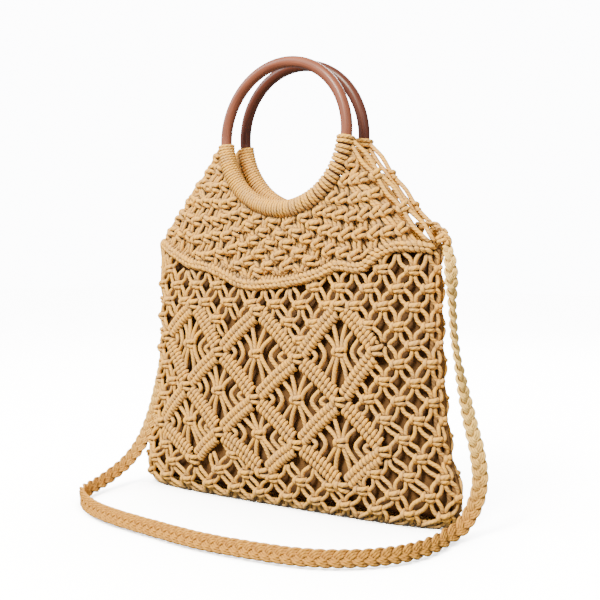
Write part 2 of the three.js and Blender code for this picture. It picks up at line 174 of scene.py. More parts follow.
# %% Sizes of the pouch
HALF_WIDTH = 0.181
HALF_DEPTH = 0.030
SHOULDER_HEIGHT = 0.255
RING_CENTRE_HEIGHT = 0.355
RING_RADIUS = 0.070
RING_SHIFT = 0.00375
RING_LEAN = 0.05
HALF_RING_SPACING = 0.0155
ROD_RADIUS = 0.0054
WRAP_RADIUS = 0.0085
YOKE_TOP_RADIUS = 0.0763
YOKE_TOP_ANGLE = math.radians(4)
YOKE_TOP = RING_CENTRE_HEIGHT - YOKE_TOP_RADIUS * math.sin(YOKE_TOP_ANGLE)
YOKE_TOP_HALF_WIDTH = YOKE_TOP_RADIUS * math.cos(YOKE_TOP_ANGLE)
YOKE_STAND_OFF = 0.0025
SEAM_GAP = 0.00015
YOKE_GAP_GROWTH = 0.01485
SWELL = 0.0055
SWELL_HEIGHT = 0.027
SWELL_REACH = 0.020
SECTIONS = [
    (0.000, 0.960, 0.740),
    (0.047, 0.990, 0.930),
    (0.118, 1.000, 1.000),
    (0.235, 0.972, 1.000),
    (0.430, 0.934, 0.950),
    (0.667, 0.917, 0.870),
    (0.863, 0.912, 0.800),
    (1.000, 0.900, 0.767),
]


def section(height):
    """Half width, half depth, gap at the edge and sideways shift of the pouch at one height."""
    ups, wides, deeps = zip(*SECTIONS)
    if height <= SHOULDER_HEIGHT:
        share = max(height, 0.0) / SHOULDER_HEIGHT
        wide = HALF_WIDTH * np.interp(share, ups, wides)
        wide += SWELL * math.exp(-(((height - SWELL_HEIGHT) / SWELL_REACH) ** 2))
        deep = HALF_DEPTH * np.interp(share, ups, deeps)
        return wide, deep, SEAM_GAP, 0.0
    share = min((height - SHOULDER_HEIGHT) / (YOKE_TOP - SHOULDER_HEIGHT), 1.0)
    lowest_wide = HALF_WIDTH * SECTIONS[-1][1]
    wide = lowest_wide + (YOKE_TOP_HALF_WIDTH - lowest_wide) * share
    lean = (RING_CENTRE_HEIGHT - height) * math.tan(RING_LEAN)
    deep = HALF_RING_SPACING + lean + YOKE_STAND_OFF
    return wide, deep, SEAM_GAP + YOKE_GAP_GROWTH * share, RING_SHIFT * share


# %% A table of the surface
HEIGHTS = np.linspace(0.0, YOKE_TOP, 176)
SHARES = np.linspace(-1.0, 1.0, 241)


def surface_table():
    """Points of the front at even shares of the way round, and half the way round, by height."""
    places = np.zeros((len(HEIGHTS), len(SHARES), 3))
    reaches = np.zeros(len(HEIGHTS))
    turn = np.linspace(math.pi, 0.0, 721)
    for row, height in enumerate(HEIGHTS):
        wide, deep, edge, middle = section(height)
        across = wide * np.sign(np.cos(turn)) * np.sqrt(np.abs(np.cos(turn)))
        inward = -(edge + (deep - edge) * np.sin(turn))
        steps = np.hypot(np.diff(across), np.diff(inward))
        travelled = np.concatenate([[0.0], np.cumsum(steps)])
        reaches[row] = travelled[-1] / 2
        share = travelled / reaches[row] - 1.0
        places[row, :, 0] = middle + np.interp(SHARES, share, across)
        places[row, :, 1] = np.interp(SHARES, share, inward)
        places[row, :, 2] = height
    return places, reaches


PLACES, REACHES = surface_table()
OUTWARD = np.cross(np.gradient(PLACES, axis=1), np.gradient(PLACES, axis=0))
OUTWARD /= np.linalg.norm(OUTWARD, axis=2, keepdims=True) + 1e-12
half_way_round = float(np.interp(0.12, HEIGHTS, REACHES))
print("half the way round at mid height, mm:", round(half_way_round * 1000))


# %% Look-up on the surface
LOWEST_CORD = 0.0021


def reach(height):
    """Half the way round the bag at a height."""
    return np.interp(height, HEIGHTS, REACHES)


def look_up(table, height, share):
    """Bilinear look-up of a table of points at heights and shares of the way round."""
    down = np.clip(height / HEIGHTS[-1] * (len(HEIGHTS) - 1), 0, len(HEIGHTS) - 1.001)
    along = np.clip((share + 1) / 2 * (len(SHARES) - 1), 0, len(SHARES) - 1.001)
    row = down.astype(int)
    column = along.astype(int)
    part = (down - row)[:, None]
    side = (along - column)[:, None]
    lower = table[row, column] * (1 - side) + table[row, column + 1] * side
    upper = table[row + 1, column] * (1 - side) + table[row + 1, column + 1] * side
    return lower * (1 - part) + upper * part


def on_bag(plan, face):
    """Turns rows of (distance round, height, lift off the surface) into space.

    The face is 1 for the front and -1 for the back. A cord that runs past the side goes on round it.
    """
    plan = np.asarray(plan, float)
    share = plan[:, 0] / reach(plan[:, 1])
    past = np.abs(share) > 1.0
    folded = np.where(past, np.sign(share) * 2.0 - share, share)
    point = look_up(PLACES, plan[:, 1], folded)
    normal = look_up(OUTWARD, plan[:, 1], folded)
    point = point + normal * plan[:, 2:3]
    point[:, 2] = np.maximum(point[:, 2] + np.minimum(plan[:, 1], 0.0), LOWEST_CORD)
    point[:, 1] *= np.where(past, -face, face)
    return point


def round_at(across, height):
    """Distance round the front at a sideways place and a height."""
    row = min(int(height / HEIGHTS[-1] * (len(HEIGHTS) - 1)), len(HEIGHTS) - 1)
    return float(np.interp(across, PLACES[row, :, 0], SHARES)) * float(reach(height))


# %% [markdown]
# ## Cords as curves
# A cord is a curve with a round bevel. A few guide points per cord are enough when a Catmull-Rom
# curve is passed through them. The bevel does what sweeping a circle along the points by hand would
# do, and turns it evenly. All cords of one piece share a curve object, which becomes one mesh. There
# are thousands of them, so each has only six sides, which smooth shading makes round.

# %% A smooth curve through guide points
CORD_RADIUS = 0.0022


def smooth_path(points, steps=3):
    """More points, on a centripetal Catmull-Rom curve through the ones given."""
    points = np.asarray(points, float)
    ends = np.vstack([2 * points[0] - points[1], points, 2 * points[-1] - points[-2]])
    out = []
    for p0, p1, p2, p3 in zip(ends, ends[1:], ends[2:], ends[3:]):
        t1 = np.linalg.norm(p1 - p0) ** 0.5
        t2 = t1 + np.linalg.norm(p2 - p1) ** 0.5
        t3 = t2 + np.linalg.norm(p3 - p2) ** 0.5
        for t in t1 + (t2 - t1) * np.arange(steps) / steps:
            a1 = (p0 * (t1 - t) + p1 * t) / t1
            a2 = (p1 * (t2 - t) + p2 * (t - t1)) / (t2 - t1)
            a3 = (p2 * (t3 - t) + p3 * (t - t2)) / (t3 - t2)
            b1 = (a1 * (t2 - t) + a2 * t) / t2
            b2 = (a2 * (t3 - t) + a3 * (t - t1)) / (t3 - t1)
            out.append((b1 * (t2 - t) + b2 * (t - t1)) / (t2 - t1))
    out.append(points[-1])
    return np.array(out)


# %% The way along and round each cord
TWIST_STEP = 0.0137


def store_twist(mesh, lines):
    """Stores the distance along the cord and the direction round it, for a pattern that winds.

    Each cord's distance starts a step later, so that the twists of neighbours don't line up.
    """
    along = []
    for number, points in enumerate(lines):
        steps = np.linalg.norm(np.diff(np.asarray(points, float), axis=0), axis=1)
        along.append(np.concatenate([[0.0], np.cumsum(steps)]) + TWIST_STEP * number)
    along = np.concatenate(along)
    corners = len(mesh.vertices) // len(along)
    turn = 2 * math.pi * np.arange(corners) / corners
    values = np.zeros((len(along), corners, 3))
    values[:, :, 0] = along[:, None]
    values[:, :, 1] = np.cos(turn)
    values[:, :, 2] = np.sin(turn)
    twist = mesh.attributes.new("twist", "FLOAT_VECTOR", "POINT")
    twist.data.foreach_set("vector", values.ravel())


def close_ends(mesh):
    """Puts a face on every open end of the tubes."""
    shape = bmesh.new()
    shape.from_mesh(mesh)
    open_edges = [edge for edge in shape.edges if edge.is_boundary]
    if open_edges:
        bmesh.ops.holes_fill(shape, edges=open_edges, sides=8)
        shape.to_mesh(mesh)
    shape.free()


# %% Many cords, one mesh
def cords_to_mesh(name, paths, finish, closed=False):
    """One mesh piece from many cords: each is (points in space, radius)."""
    data = bpy.data.curves.new(name, "CURVE")
    data.dimensions = "3D"
    data.bevel_depth = 1.0
    data.bevel_resolution = 1
    for points, radius in paths:
        spline = data.splines.new("POLY")
        spline.points.add(len(points) - 1)
        rows = np.ones((len(points), 4))
        rows[:, :3] = points
        spline.points.foreach_set("co", rows.ravel())
        spline.points.foreach_set("radius", np.broadcast_to(radius, len(points)).astype(np.float32))
        spline.use_cyclic_u = closed
    curve = bpy.data.objects.new(name + "_curve", data)
    bpy.context.collection.objects.link(curve)
    bpy.context.view_layer.update()
    solid = curve.evaluated_get(bpy.context.evaluated_depsgraph_get())
    mesh = bpy.data.meshes.new_from_object(solid)
    bpy.data.objects.remove(curve)
    mesh.name = name
    mesh.materials.clear()
    mesh.materials.append(finish)
    mesh.polygons.foreach_set("use_smooth", [True] * len(mesh.polygons))
    store_twist(mesh, [points for points, radius in paths])
    close_ends(mesh)
    piece = bpy.data.objects.new(name, mesh)
    bpy.context.collection.objects.link(piece)
    mesh.calc_loop_triangles()
    print(name, "cords", len(paths), "triangles", len(mesh.loop_triangles))
    return piece


# %% Cords that are laid out on the plan
def laid(guides, steps=2, radius=CORD_RADIUS, swell=0.0):
    """A smooth cord on the plan and its radius at each point, fuller in the middle by swell."""
    points = smooth_path(guides, steps)
    along = np.linspace(0.0, math.pi, len(points))
    return points, radius * (1.0 - 0.6 * swell + swell * np.sin(along))


def stop_at(cord, hidden):
    """The first stretch of a cord that isn't hidden, or None if it is too short to show."""
    points, radii = cord
    count = next((i for i, point in enumerate(points) if hidden(point)), len(points))
    return (points[:count], radii[:count]) if count > 3 else None


def cord_piece(name, paths, node, finish=None, closed=False):
    """One piece of many cords that stands for a node."""
    piece = cords_to_mesh(name, paths, finish or cord_cotton, closed)
    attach(piece, "root")
    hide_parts(node)


def plan_piece(name, face, cords, node, finish=None):
    """Lays cords on the front or the back of the bag and makes one piece of them."""
    cord_piece(name, [(on_bag(points, face), radii) for points, radii in cords], node, finish)


# %% [markdown]
# ## The cotton
# The cord is unbleached cotton of a warm straw colour, of three plies that wind round each other.
# Its tops catch the light, and the crevices between cords are painted brown as shade, from how shut in
# each point is. Fine noise stands for the
#  fibres, and a sine of the way along and round the cord for the plies. The strap is of a yellower
#  cotton, which is painted paler where it hangs free of the floor, as painted light. A copy of the cotton
#  painted darker, as painted shade, lies behind the seams.

# %% Cotton cord finish
PLIES = 3.0
PLY_PITCH = 0.0036
PATCH_SCALE = 140.0
FIBRE_SCALE = 700.0
PAINTED_SHADE_REACH = 0.007


def cotton(name, light, dark, deep, upright=None):
    """A cotton of two tones, with a painted shade colour for the crevices and a painted light colour for
    what hangs free.
    """
    made = Finish(name, Roughness=0.95, Specular_IOR_Level=0.1)
    place = made.place()
    along, right, up = made.parts(made.stored("twist"))
    winding = up.math("ARCTAN2", up, right) * PLIES + along * (2 * math.pi / PLY_PITCH)
    plies = winding.sine()
    patches = made.noise(place, PATCH_SCALE, 2.0)
    fibres = made.noise(place, FIBRE_SCALE, 3.0, 0.7)
    blend = (patches * 1.9 + fibres * 1.3 + plies * 0.16 - 1.12).clamped()
    # Painted light: above the floor the tones turn to the paler upright colour, as if lit more.
    if upright:
        height = (made.parts(place)[2] * 14.0 - 0.2).clamped()
        light = made.mixed(height, light, upright)
        dark = made.mixed(height, dark, upright)
    # Painted shade: crevices are mixed towards the deep colour by the ambient occlusion mask.
    unshaded_share = (made.painted_shade_mask(PAINTED_SHADE_REACH) * 1.5 - 0.27 + plies * 0.06).clamped()
    made.set("Base Color", made.mixed(unshaded_share, deep, made.mixed(blend, dark, light)))
    made.bumped(fibres * 0.8 + plies * 0.32, 0.0006, 0.9)
    return made.material


# In each cotton, deep is the painted shade colour of the crevices.
cord_cotton = cotton(
    "cord_cotton",
    light=(0.97, 0.490, 0.055, 1),
    dark=(0.68, 0.390, 0.13, 1),
    deep=(0.165, 0.126, 0.088, 1),
)
strap_cotton = cotton(
    "strap_cotton",
    light=(0.68, 0.320, 0.043, 1),
    dark=(0.57, 0.260, 0.048, 1),
    deep=(0.26, 0.14, 0.055, 1),
    # painted light: the paler colour where the strap hangs free of the floor
    upright=(1.0, 0.64, 0.17, 1),
)
# painted shade: a darker copy of the cotton for cords that lie in shadow behind the seams
painted_shade_cotton = cotton(
    "painted_shade_cotton",
    light=(0.30, 0.160, 0.058, 1),
    dark=(0.19, 0.100, 0.038, 1),
    deep=(0.07, 0.036, 0.016, 1),
)
print("cottons:", cord_cotton.name, strap_cotton.name, painted_shade_cotton.name)

# %% [markdown]
# ## The strap
# The strap is a flat braid of three strands of three cords, about 15 mm wide. It hangs from the
# right shoulder, lies on the floor in one long loose curve and comes up to the left shoulder behind
# the bag. On the floor it stands on its edge. A braid is three waves that follow each other a third
# of a period apart, each of which goes twice over and under while it swings once from side to side.
# A little of a wave three times as fast makes the turns at the edges flatter, as a tight braid's are.

# %% Strap route
STRAP_ROUTE = [
    (0.1690, -0.0029, 0.2490), (0.1730, -0.0050, 0.2380), (0.1752, -0.0065, 0.2220),
    (0.1763, -0.0070, 0.2020), (0.1790, -0.0070, 0.1670), (0.1838, -0.0070, 0.1410),
    (0.1938, -0.0070, 0.0980), (0.2013, -0.0080, 0.0720), (0.2046, -0.0090, 0.0500),
    (0.2030, -0.0120, 0.0320), (0.1990, -0.0195, 0.0175), (0.1965, -0.0330, 0.0086),
    (0.1952, -0.0500, 0.0058), (0.1968, -0.0700, 0.0057), (0.1948, -0.0960, 0.0057),
    (0.1858, -0.1220, 0.0057), (0.1638, -0.1490, 0.0057), (0.1308, -0.1680, 0.0057),
    (0.0848, -0.1760, 0.0057), (0.0338, -0.1780, 0.0057), (-0.0263, -0.1710, 0.0057),
    (-0.0713, -0.1640, 0.0057), (-0.1113, -0.1530, 0.0057), (-0.1463, -0.1340, 0.0057),
    (-0.1693, -0.1120, 0.0059), (-0.1803, -0.0850, 0.0080), (-0.1843, -0.0600, 0.0145),
    (-0.1846, -0.0360, 0.0250), (-0.1842, -0.0150, 0.0420), (-0.1838, 0.0010, 0.0660),
    (-0.1810, 0.0100, 0.0950), (-0.1765, 0.0170, 0.1350), (-0.1730, 0.0195, 0.1750),
    (-0.1720, 0.0185, 0.2080), (-0.1715, 0.0130, 0.2360), (-0.1680, 0.0043, 0.2530),
]


def evenly(path, spacing):
    """The same path with points at even spacing."""
    travelled = np.concatenate([[0.0], np.cumsum(np.linalg.norm(np.diff(path, axis=0), axis=1))])
    stations = np.linspace(0.0, travelled[-1], int(travelled[-1] / spacing) + 1)
    even = np.stack([np.interp(stations, travelled, path[:, i]) for i in range(3)], axis=1)
    return even, stations


# %% Length of the strap
STRAP_RISE = 0.0081
STRAP_SPACING = 0.0015


def stood_up(path):
    """The route's middle raised where it lies, because the flat braid stands there on its edge."""
    raised = path.copy()
    raised[:, 2] = (np.maximum(path[:, 2], 0.0) ** 4 + STRAP_RISE**4) ** 0.25
    return raised


strap_line, strap_stations = evenly(stood_up(smooth_path(STRAP_ROUTE, 12)), STRAP_SPACING)


# %% Directions across the strap
def sideways_frames(path):
    """Side and up directions along a path, carried from its middle without twisting."""
    ahead = np.gradient(path, axis=0)
    ahead /= np.linalg.norm(ahead, axis=1, keepdims=True)
    sides = np.zeros_like(path)
    middle = len(path) // 2
    sides[middle] = np.cross(ahead[middle], (0.0, 0.0, 1.0))
    for step in (1, -1):
        stop = len(path) if step > 0 else -1
        for i in range(middle + step, stop, step):
            carried = sides[i - step] - ahead[i] * np.dot(sides[i - step], ahead[i])
            sides[i] = carried / np.linalg.norm(carried)
    return sides, np.cross(sides, ahead)


# %% [markdown]
# ## The braid's turn and its period
# The flat strap turns about its own line as it hangs and lies, so the braid's face shows in some
# places and its edge in others. Both that turn, in radians, and the braid's period, which is
# stretched at the two bends, are given at some distances along the strap, in metres.

# %% Braid the strap
BRAID_SWING = 0.0039
BRAID_DEPTH = 0.0017
BRAID_CORD_RADIUS = 0.00145
BRAID_CORD_PITCH = 0.0020
BRAID_NARROWING = 0.030
FLAT_TOP = 0.07
BRAID_PERIODS = [
    (0.0, 0.0280), (0.24, 0.0290), (0.275, 0.055), (0.30, 0.044), (0.34, 0.0285),
    (0.66, 0.0265), (0.71, 0.050), (0.77, 0.038), (0.85, 0.0290), (1.07, 0.0280),
]
BRAID_TURNS = [
    (0.0, -0.8), (0.02, -0.4), (0.05, 0.45), (0.10, 0.50), (0.14, -0.1), (0.20, -0.7),
    (0.24, -0.9), (0.27, -0.65), (0.34, -0.3), (0.50, -0.3), (0.64, -0.4), (0.70, -0.1),
    (0.76, 0.5), (0.80, 0.64), (0.85, 0.87), (1.07, 0.87),
]


def braid(path, stations):
    """Three strands of three cords each, that swing over and under each other along a path."""
    flat_sides, flat_ups = sideways_frames(path)
    turn = np.interp(stations, *zip(*BRAID_TURNS))[:, None]
    sides = flat_sides * np.cos(turn) + flat_ups * np.sin(turn)
    ups = flat_ups * np.cos(turn) - flat_sides * np.sin(turn)
    from_end = np.minimum(stations, stations[-1] - stations)
    spread = 0.50 + 0.50 * np.clip(from_end / BRAID_NARROWING, 0.0, 1.0)
    periods = np.interp(stations, *zip(*BRAID_PERIODS))
    passes = np.concatenate([[0.0], np.cumsum(np.diff(stations) / periods[1:])])
    paths = []
    for strand in range(3):
        phase = 2 * math.pi * (passes + strand / 3)
        wave = (np.sin(phase) + FLAT_TOP * np.sin(3 * phase)) / (1 - FLAT_TOP)
        steepness = (np.cos(phase) + 3 * FLAT_TOP * np.cos(3 * phase)) / (1 - FLAT_TOP)
        slope = BRAID_SWING * spread * 2 * math.pi / periods * steepness
        for cord in (-1, 0, 1):
            shift = cord * BRAID_CORD_PITCH * spread / np.sqrt(1 + slope**2)
            across = BRAID_SWING * spread * wave + shift
            hump = BRAID_DEPTH * np.sin(2 * phase)
            line = path + ups * across[:, None] + sides * hump[:, None]
            moved = np.clip(stations - shift * slope, 0.0, stations[-1])
            back = np.stack([np.interp(moved, stations, path[:, i]) for i in range(3)], axis=1)
            paths.append((line + back - path, BRAID_CORD_RADIUS))
    return paths


strap = cords_to_mesh("strap_braid", braid(strap_line, strap_stations), strap_cotton)
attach(strap, "root")
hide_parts("shoulder_strap")

# %% [markdown]
# ## A square knot
# Four cords meet in a square knot. The two inner cords pass straight through, and the outer two tie
# round them, which shows as two bars one over the other and a short bump at the left. Below it the
# cords part in pairs, two to the knot on the left and two to the one on the right. One knot could be
# modelled and copied, but no two are bent and turned alike, so each is made of its own few cords,
# with guide points in shares of the knot's width and height.


# %% The plan of one knot
KNOT_CORD_RADIUS = 0.0023
BUMP_RADIUS = 0.0021
LINK_RADIUS = 0.0020


class Knot:
    """A square knot on the plan: its place, the direction of its bars, its width and height."""

    def __init__(self, place, tilt, width, height, lift=0.0):
        self.place = np.array(place)
        self.right = np.array((math.cos(tilt), math.sin(tilt)))
        self.up = np.array((-math.sin(tilt), math.cos(tilt)))
        self.width = width
        self.height = height
        self.lift = lift

    def at(self, across, upward, lift):
        """A point of the plan, across and up in shares of the knot's half width and height."""
        flat = self.place
        flat = flat + self.right * across * self.width / 2 + self.up * upward * self.height / 2
        return (flat[0], flat[1], lift + self.lift)

    def cords(self):
        """The two bars and the bump, as cords that are fuller in the middle, like grains."""
        upper = [(-0.50, 0.20, -0.0030), (-0.36, 0.38, 0.0004), (0.06, 0.50, 0.0015)]
        upper += [(0.46, 0.68, 0.0002), (0.72, 0.92, -0.0034)]
        lower = [(-0.48, -0.30, -0.0032), (-0.34, -0.48, -0.0001), (0.08, -0.56, 0.0008)]
        lower += [(0.46, -0.66, -0.0004), (0.70, -0.80, -0.0034)]
        bump = [(-0.62, 1.02, -0.0034), (-0.80, 0.52, 0.0001), (-0.84, 0.0, 0.0013)]
        bump += [(-0.80, -0.52, 0.0001), (-0.62, -1.02, -0.0034)]
        bars = [laid([self.at(*p) for p in upper], 2, KNOT_CORD_RADIUS, 0.24)]
        bars += [laid([self.at(*p) for p in lower], 2, KNOT_CORD_RADIUS * 0.9, 0.18)]
        return bars + [laid([self.at(*p) for p in bump], 2, BUMP_RADIUS, 0.1)]


# %% Cords between two knots
def pair_between(upper, lower, bulge):
    """The two cords from one knot down to another that lies to its left or right."""
    side = math.copysign(1.0, np.dot(lower.place - upper.place, upper.right))
    paths = []
    for way in (1.0, -1.0):
        if way > 0:
            first = upper.at(side * 0.74, -0.05, -0.0026)
            second = upper.at(side * 1.12, -0.80, -0.0012)
            fourth = lower.at(-side * 0.20, 1.65, -0.0012)
            fifth = lower.at(-side * 0.20, 0.7, -0.0030)
        else:
            first = upper.at(side * 0.20, -0.7, -0.0030)
            second = upper.at(side * 0.26, -1.65, -0.0014)
            fourth = lower.at(-side * 1.12, 0.80, -0.0012)
            fifth = lower.at(-side * 0.74, 0.05, -0.0026)
        middle = (np.array(second) + np.array(fourth)) / 2
        run = np.array(fourth[:2]) - np.array(second[:2])
        away = np.array((-run[1], run[0])) / (np.linalg.norm(run) + 1e-9)
        away *= math.copysign(1.0, away[0] * side)
        middle[:2] += away * bulge * way
        middle[2] += 0.0006 * way
        paths.append(laid([first, second, tuple(middle), fourth, fifth], 2, LINK_RADIUS))
    return paths


def close_pair(upper, lower):
    """The same two cords where the rows are so close that the knots hide most of them."""
    side = math.copysign(1.0, np.dot(lower.place - upper.place, upper.right))
    outer = [upper.at(side * 0.75, -0.3, -0.0036), upper.at(side * 1.05, -0.75, -0.0022)]
    outer += [lower.at(-side * 0.25, 1.05, -0.0022), lower.at(-side * 0.25, 0.2, -0.0040)]
    inner = [upper.at(side * 0.30, -0.3, -0.0040), upper.at(side * 0.45, -1.05, -0.0026)]
    inner += [lower.at(-side * 0.85, 0.95, -0.0026), lower.at(-side * 0.80, 0.2, -0.0040)]
    return [laid(outer), laid(inner)]


# %% [markdown]
# ## Where the parts of the front lie
# A wavy ridge parts the dense yoke above from the open net below. The net holds a lattice of eight
# diamonds. Both are laid down here by the places of their corners, across and up in shares of the
# bag's half width and of its shoulder height.

# %% The wave and the lattice
WAVE_ACROSS = [-0.900, -0.839, -0.719, -0.599, -0.469, -0.344, -0.229, -0.069, 0.111]
WAVE_ACROSS += [0.261, 0.371, 0.521, 0.606, 0.701, 0.811, 0.881, 0.925]
WAVE_UP = [0.998, 0.988, 0.949, 0.914, 0.900, 0.869, 0.837, 0.835, 0.851]
WAVE_UP += [0.875, 0.906, 0.902, 0.949, 0.973, 0.973, 0.968, 0.985]
wave_guides = np.zeros((len(WAVE_ACROSS), 3))
wave_guides[:, 0] = np.array(WAVE_ACROSS) * HALF_WIDTH
wave_guides[:, 1] = np.array(WAVE_UP) * SHOULDER_HEIGHT
wave_line, wave_stations = evenly(smooth_path(wave_guides, 8), 0.0005)


def wave_height(distance):
    """Height of the ridge at a distance round the front."""
    return np.interp(distance, wave_line[:, 0], wave_line[:, 1])


CROSSINGS = {
    (0, -2): (-0.569, 0.753), (0, 0): (-0.112, 0.734), (0, 2): (0.396, 0.763),
    (1, -3): (-0.792, 0.618), (1, -1): (-0.374, 0.571), (1, 1): (0.151, 0.565),
    (1, 3): (0.612, 0.610), (2, -2): (-0.610, 0.426), (2, 0): (-0.119, 0.402),
    (2, 2): (0.414, 0.421), (3, -3): (-0.831, 0.264), (3, -1): (-0.363, 0.260),
    (3, 1): (0.158, 0.249), (3, 3): (0.665, 0.260), (4, -2): (-0.547, 0.139),
    (4, 0): (-0.055, 0.127), (4, 2): (0.438, 0.118),
}
DIAMOND_TOPS = [(0, -2), (0, 0), (0, 2), (1, -1), (1, 1), (2, -2), (2, 0), (2, 2)]
LATTICE_OUTLINE = [(0, 2), (1, 3), (2, 2), (3, 3), (4, 2), (3, 1), (4, 0), (3, -1)]
LATTICE_OUTLINE += [(4, -2), (3, -3), (2, -2), (1, -3), (0, -2), (1, -1), (0, 0), (1, 1)]


def crossing(key):
    across, up = CROSSINGS[key]
    return np.array((across * HALF_WIDTH, up * SHOULDER_HEIGHT))


OUTLINE = np.array([crossing(key) for key in LATTICE_OUTLINE])


def lattice_margin(point):
    """How far a point of the plan is from the lattice's outline, less than zero inside it."""
    ahead = np.roll(OUTLINE, -1, axis=0)
    run = ahead - OUTLINE
    share = np.sum((point - OUTLINE) * run, axis=1) / np.sum(run * run, axis=1)
    nearest = OUTLINE + run * np.clip(share, 0, 1)[:, None]
    distance = np.min(np.linalg.norm(point - nearest, axis=1))
    crosses = (OUTLINE[:, 1] > point[1]) != (ahead[:, 1] > point[1])
    slope = run[:, 0] / np.where(np.abs(run[:, 1]) < 1e-9, 1e-9, run[:, 1])
    left_of = point[0] < OUTLINE[:, 0] + (point[1] - OUTLINE[:, 1]) * slope
    inside = np.count_nonzero(crosses & left_of) % 2 == 1
    return -distance if inside else distance


print("lattice corners:", len(CROSSINGS))

# %% [markdown]
# ## The net
# The net is a grid of square knots in which every second row is shifted by half a knot, 24 half
#  steps to each face and 16.6 mm from row to row. Hand-tied knots are never quite even, so each gets
#  a small turn and shift from a seeded random source. The knots on the side seams are narrower and
#  lie a little deeper. They are made once, because both faces share them. Behind them, plain cords
#  painted darker, as painted shade, run up each side, and a few more close the left corner below the
#  shoulder.

# %% Lay out the net
NET_HALF_STEPS = 12
NET_FIRST_ROW = 0.012
NET_ROW_PITCH = 0.0166
NET_ROWS = 15
KNOT_WIDTH = 0.0140
KNOT_HEIGHT = 0.0071
NET_BELOW_RIDGE = 0.010
NET_ROUND_LATTICE = 0.0085
SEAM_KNOT_PLACE = 0.972
SEAM_KNOT_WIDTH = 0.62
SEAM_KNOT_DEPTH = 0.0024
dice = random.Random(11)


def net_place(column, row):
    height = NET_FIRST_ROW + NET_ROW_PITCH * row
    return np.array((column / NET_HALF_STEPS * float(reach(max(height, 0.0))), height))


def net_knots():
    knots = {}
    for row in range(NET_ROWS):
        for column in range(-NET_HALF_STEPS, NET_HALF_STEPS + 1):
            if (column + row) % 2 == 0:
                continue
            place = net_place(column, row)
            if place[1] > wave_height(place[0]) - NET_BELOW_RIDGE:
                continue
            if lattice_margin(place) < NET_ROUND_LATTICE:
                continue
            shift = (dice.uniform(-0.0007, 0.0007), dice.uniform(-0.0006, 0.0006))
            tilt = math.radians(dice.uniform(-7, 7))
            width = KNOT_WIDTH * dice.uniform(0.93, 1.07)
            lift = 0.0
            if abs(column) == NET_HALF_STEPS:
                place[0] *= SEAM_KNOT_PLACE
                width *= SEAM_KNOT_WIDTH
                lift = -SEAM_KNOT_DEPTH
            knots[column, row] = Knot(place + shift, tilt, width, KNOT_HEIGHT, lift)
    return knots


net = net_knots()
print("net knots on a face:", len(net))


# %% Cords of the net
def under_ridge(point):
    return point[1] > wave_height(point[0]) - 0.001 or lattice_margin(point[:2]) < -0.0015


def net_cords():
    """The net's cords, and apart from them the knots on the side seams, which both faces share."""
    own = []
    seam = []
    for (column, row), knot in net.items():
        (seam if abs(column) == NET_HALF_STEPS else own).extend(knot.cords())
        for side in (-1, 1):
            if abs(column + side) > NET_HALF_STEPS:
                continue
            bulge = dice.uniform(0.0006, 0.0016)
            below = net.get((column + side, row - 1))
            if below is None:
                below = Knot(net_place(column + side, row - 1), 0.0, KNOT_WIDTH, KNOT_HEIGHT)
            own += pair_between(knot, below, bulge)
            if (column + side, row + 1) in net:
                continue
            above = Knot(net_place(column + side, row + 1), 0.0, KNOT_WIDTH, KNOT_HEIGHT)
            for points, radii in pair_between(above, knot, bulge):
                own.append((points[::-1], radii))
    own = [stop_at(cord, under_ridge) for cord in own]
    return [cord for cord in own if cord], seam


# %% Cords at the sides
SIDE_CORD_DEPTH = 0.0046
SIDE_CORD_RADIUS = 0.0024


def side_cords():
    """Plain cords that run up each side behind the knots and close the net there."""
    paths = []
    for side in (-1, 1):
        for share in (0.93, 0.965, 1.0):
            rows = []
            for height in np.linspace(0.004, 0.246, 12):
                wave = 0.0008 * math.sin(height * 190 + share * 60)
                place = side * share * float(reach(height)) + wave
                rows.append((place, height, -SIDE_CORD_DEPTH))
            paths.append(laid(rows, 2, SIDE_CORD_RADIUS))
    return paths


def corner_cords():
    """Upright cords that close the left corner below the shoulder."""
    paths = []
    for share in (0.925, 0.963, 1.0):
        rows = []
        for height in np.linspace(0.200, 0.2515, 6):
            wave = 0.0006 * math.sin(height * 210 + share * 90)
            lift = -0.0030 if height < 0.205 else -0.0014
            rows.append((-share * float(reach(height)) + wave, height, lift))
        paths.append(laid(rows, 2, 0.0021))
    return paths


net_own, net_seam = net_cords()
corner = corner_cords()
plan_piece("net_knots_front", 1, net_own + net_seam + corner, "front_net")
plan_piece("net_knots_back", -1, net_own + corner, "back_net")
# The side cords take the copy of the cotton painted darker, as painted shade.
plan_piece("net_sides_front", 1, side_cords(), "front_net", painted_shade_cotton)
plan_piece("net_sides_back", -1, side_cords(), "back_net", painted_shade_cotton)

# %% [markdown]
# ## The lattice of diamonds
# Each side of a diamond is two bars of double half hitches: a cord held straight, with the other
# cords looped round it side by side, so the bar looks like a string of slanted beads. A small
# square knot sits at every crossing and another in the middle of each diamond. The straight cord
# inside a bar is covered by its loops, so only the loops are made, each with a slightly other slant.

# %% Hitched bars
HITCH_PITCH = 0.0042
HITCH_RADIUS = 0.00205
HITCH_HALF_WIDTH = 0.0029
BAR_SPREAD = 0.0033
BAR_INSET = 0.0065
BAR_BOW = 0.0012
BAR_SLANT = 0.35


def hitch(centre, ahead, slant):
    """One loop over a bar: guide points across it, higher in the middle."""
    across = np.array((-ahead[1], ahead[0])) + ahead * slant
    rows = ((-1.0, -0.0032), (-0.8, -0.0006), (0.0, 0.0012), (0.8, -0.0006), (1.0, -0.0032))
    guides = [(*(centre + across * HITCH_HALF_WIDTH * share), height) for share, height in rows]
    return laid(guides, 2, HITCH_RADIUS, 0.1)


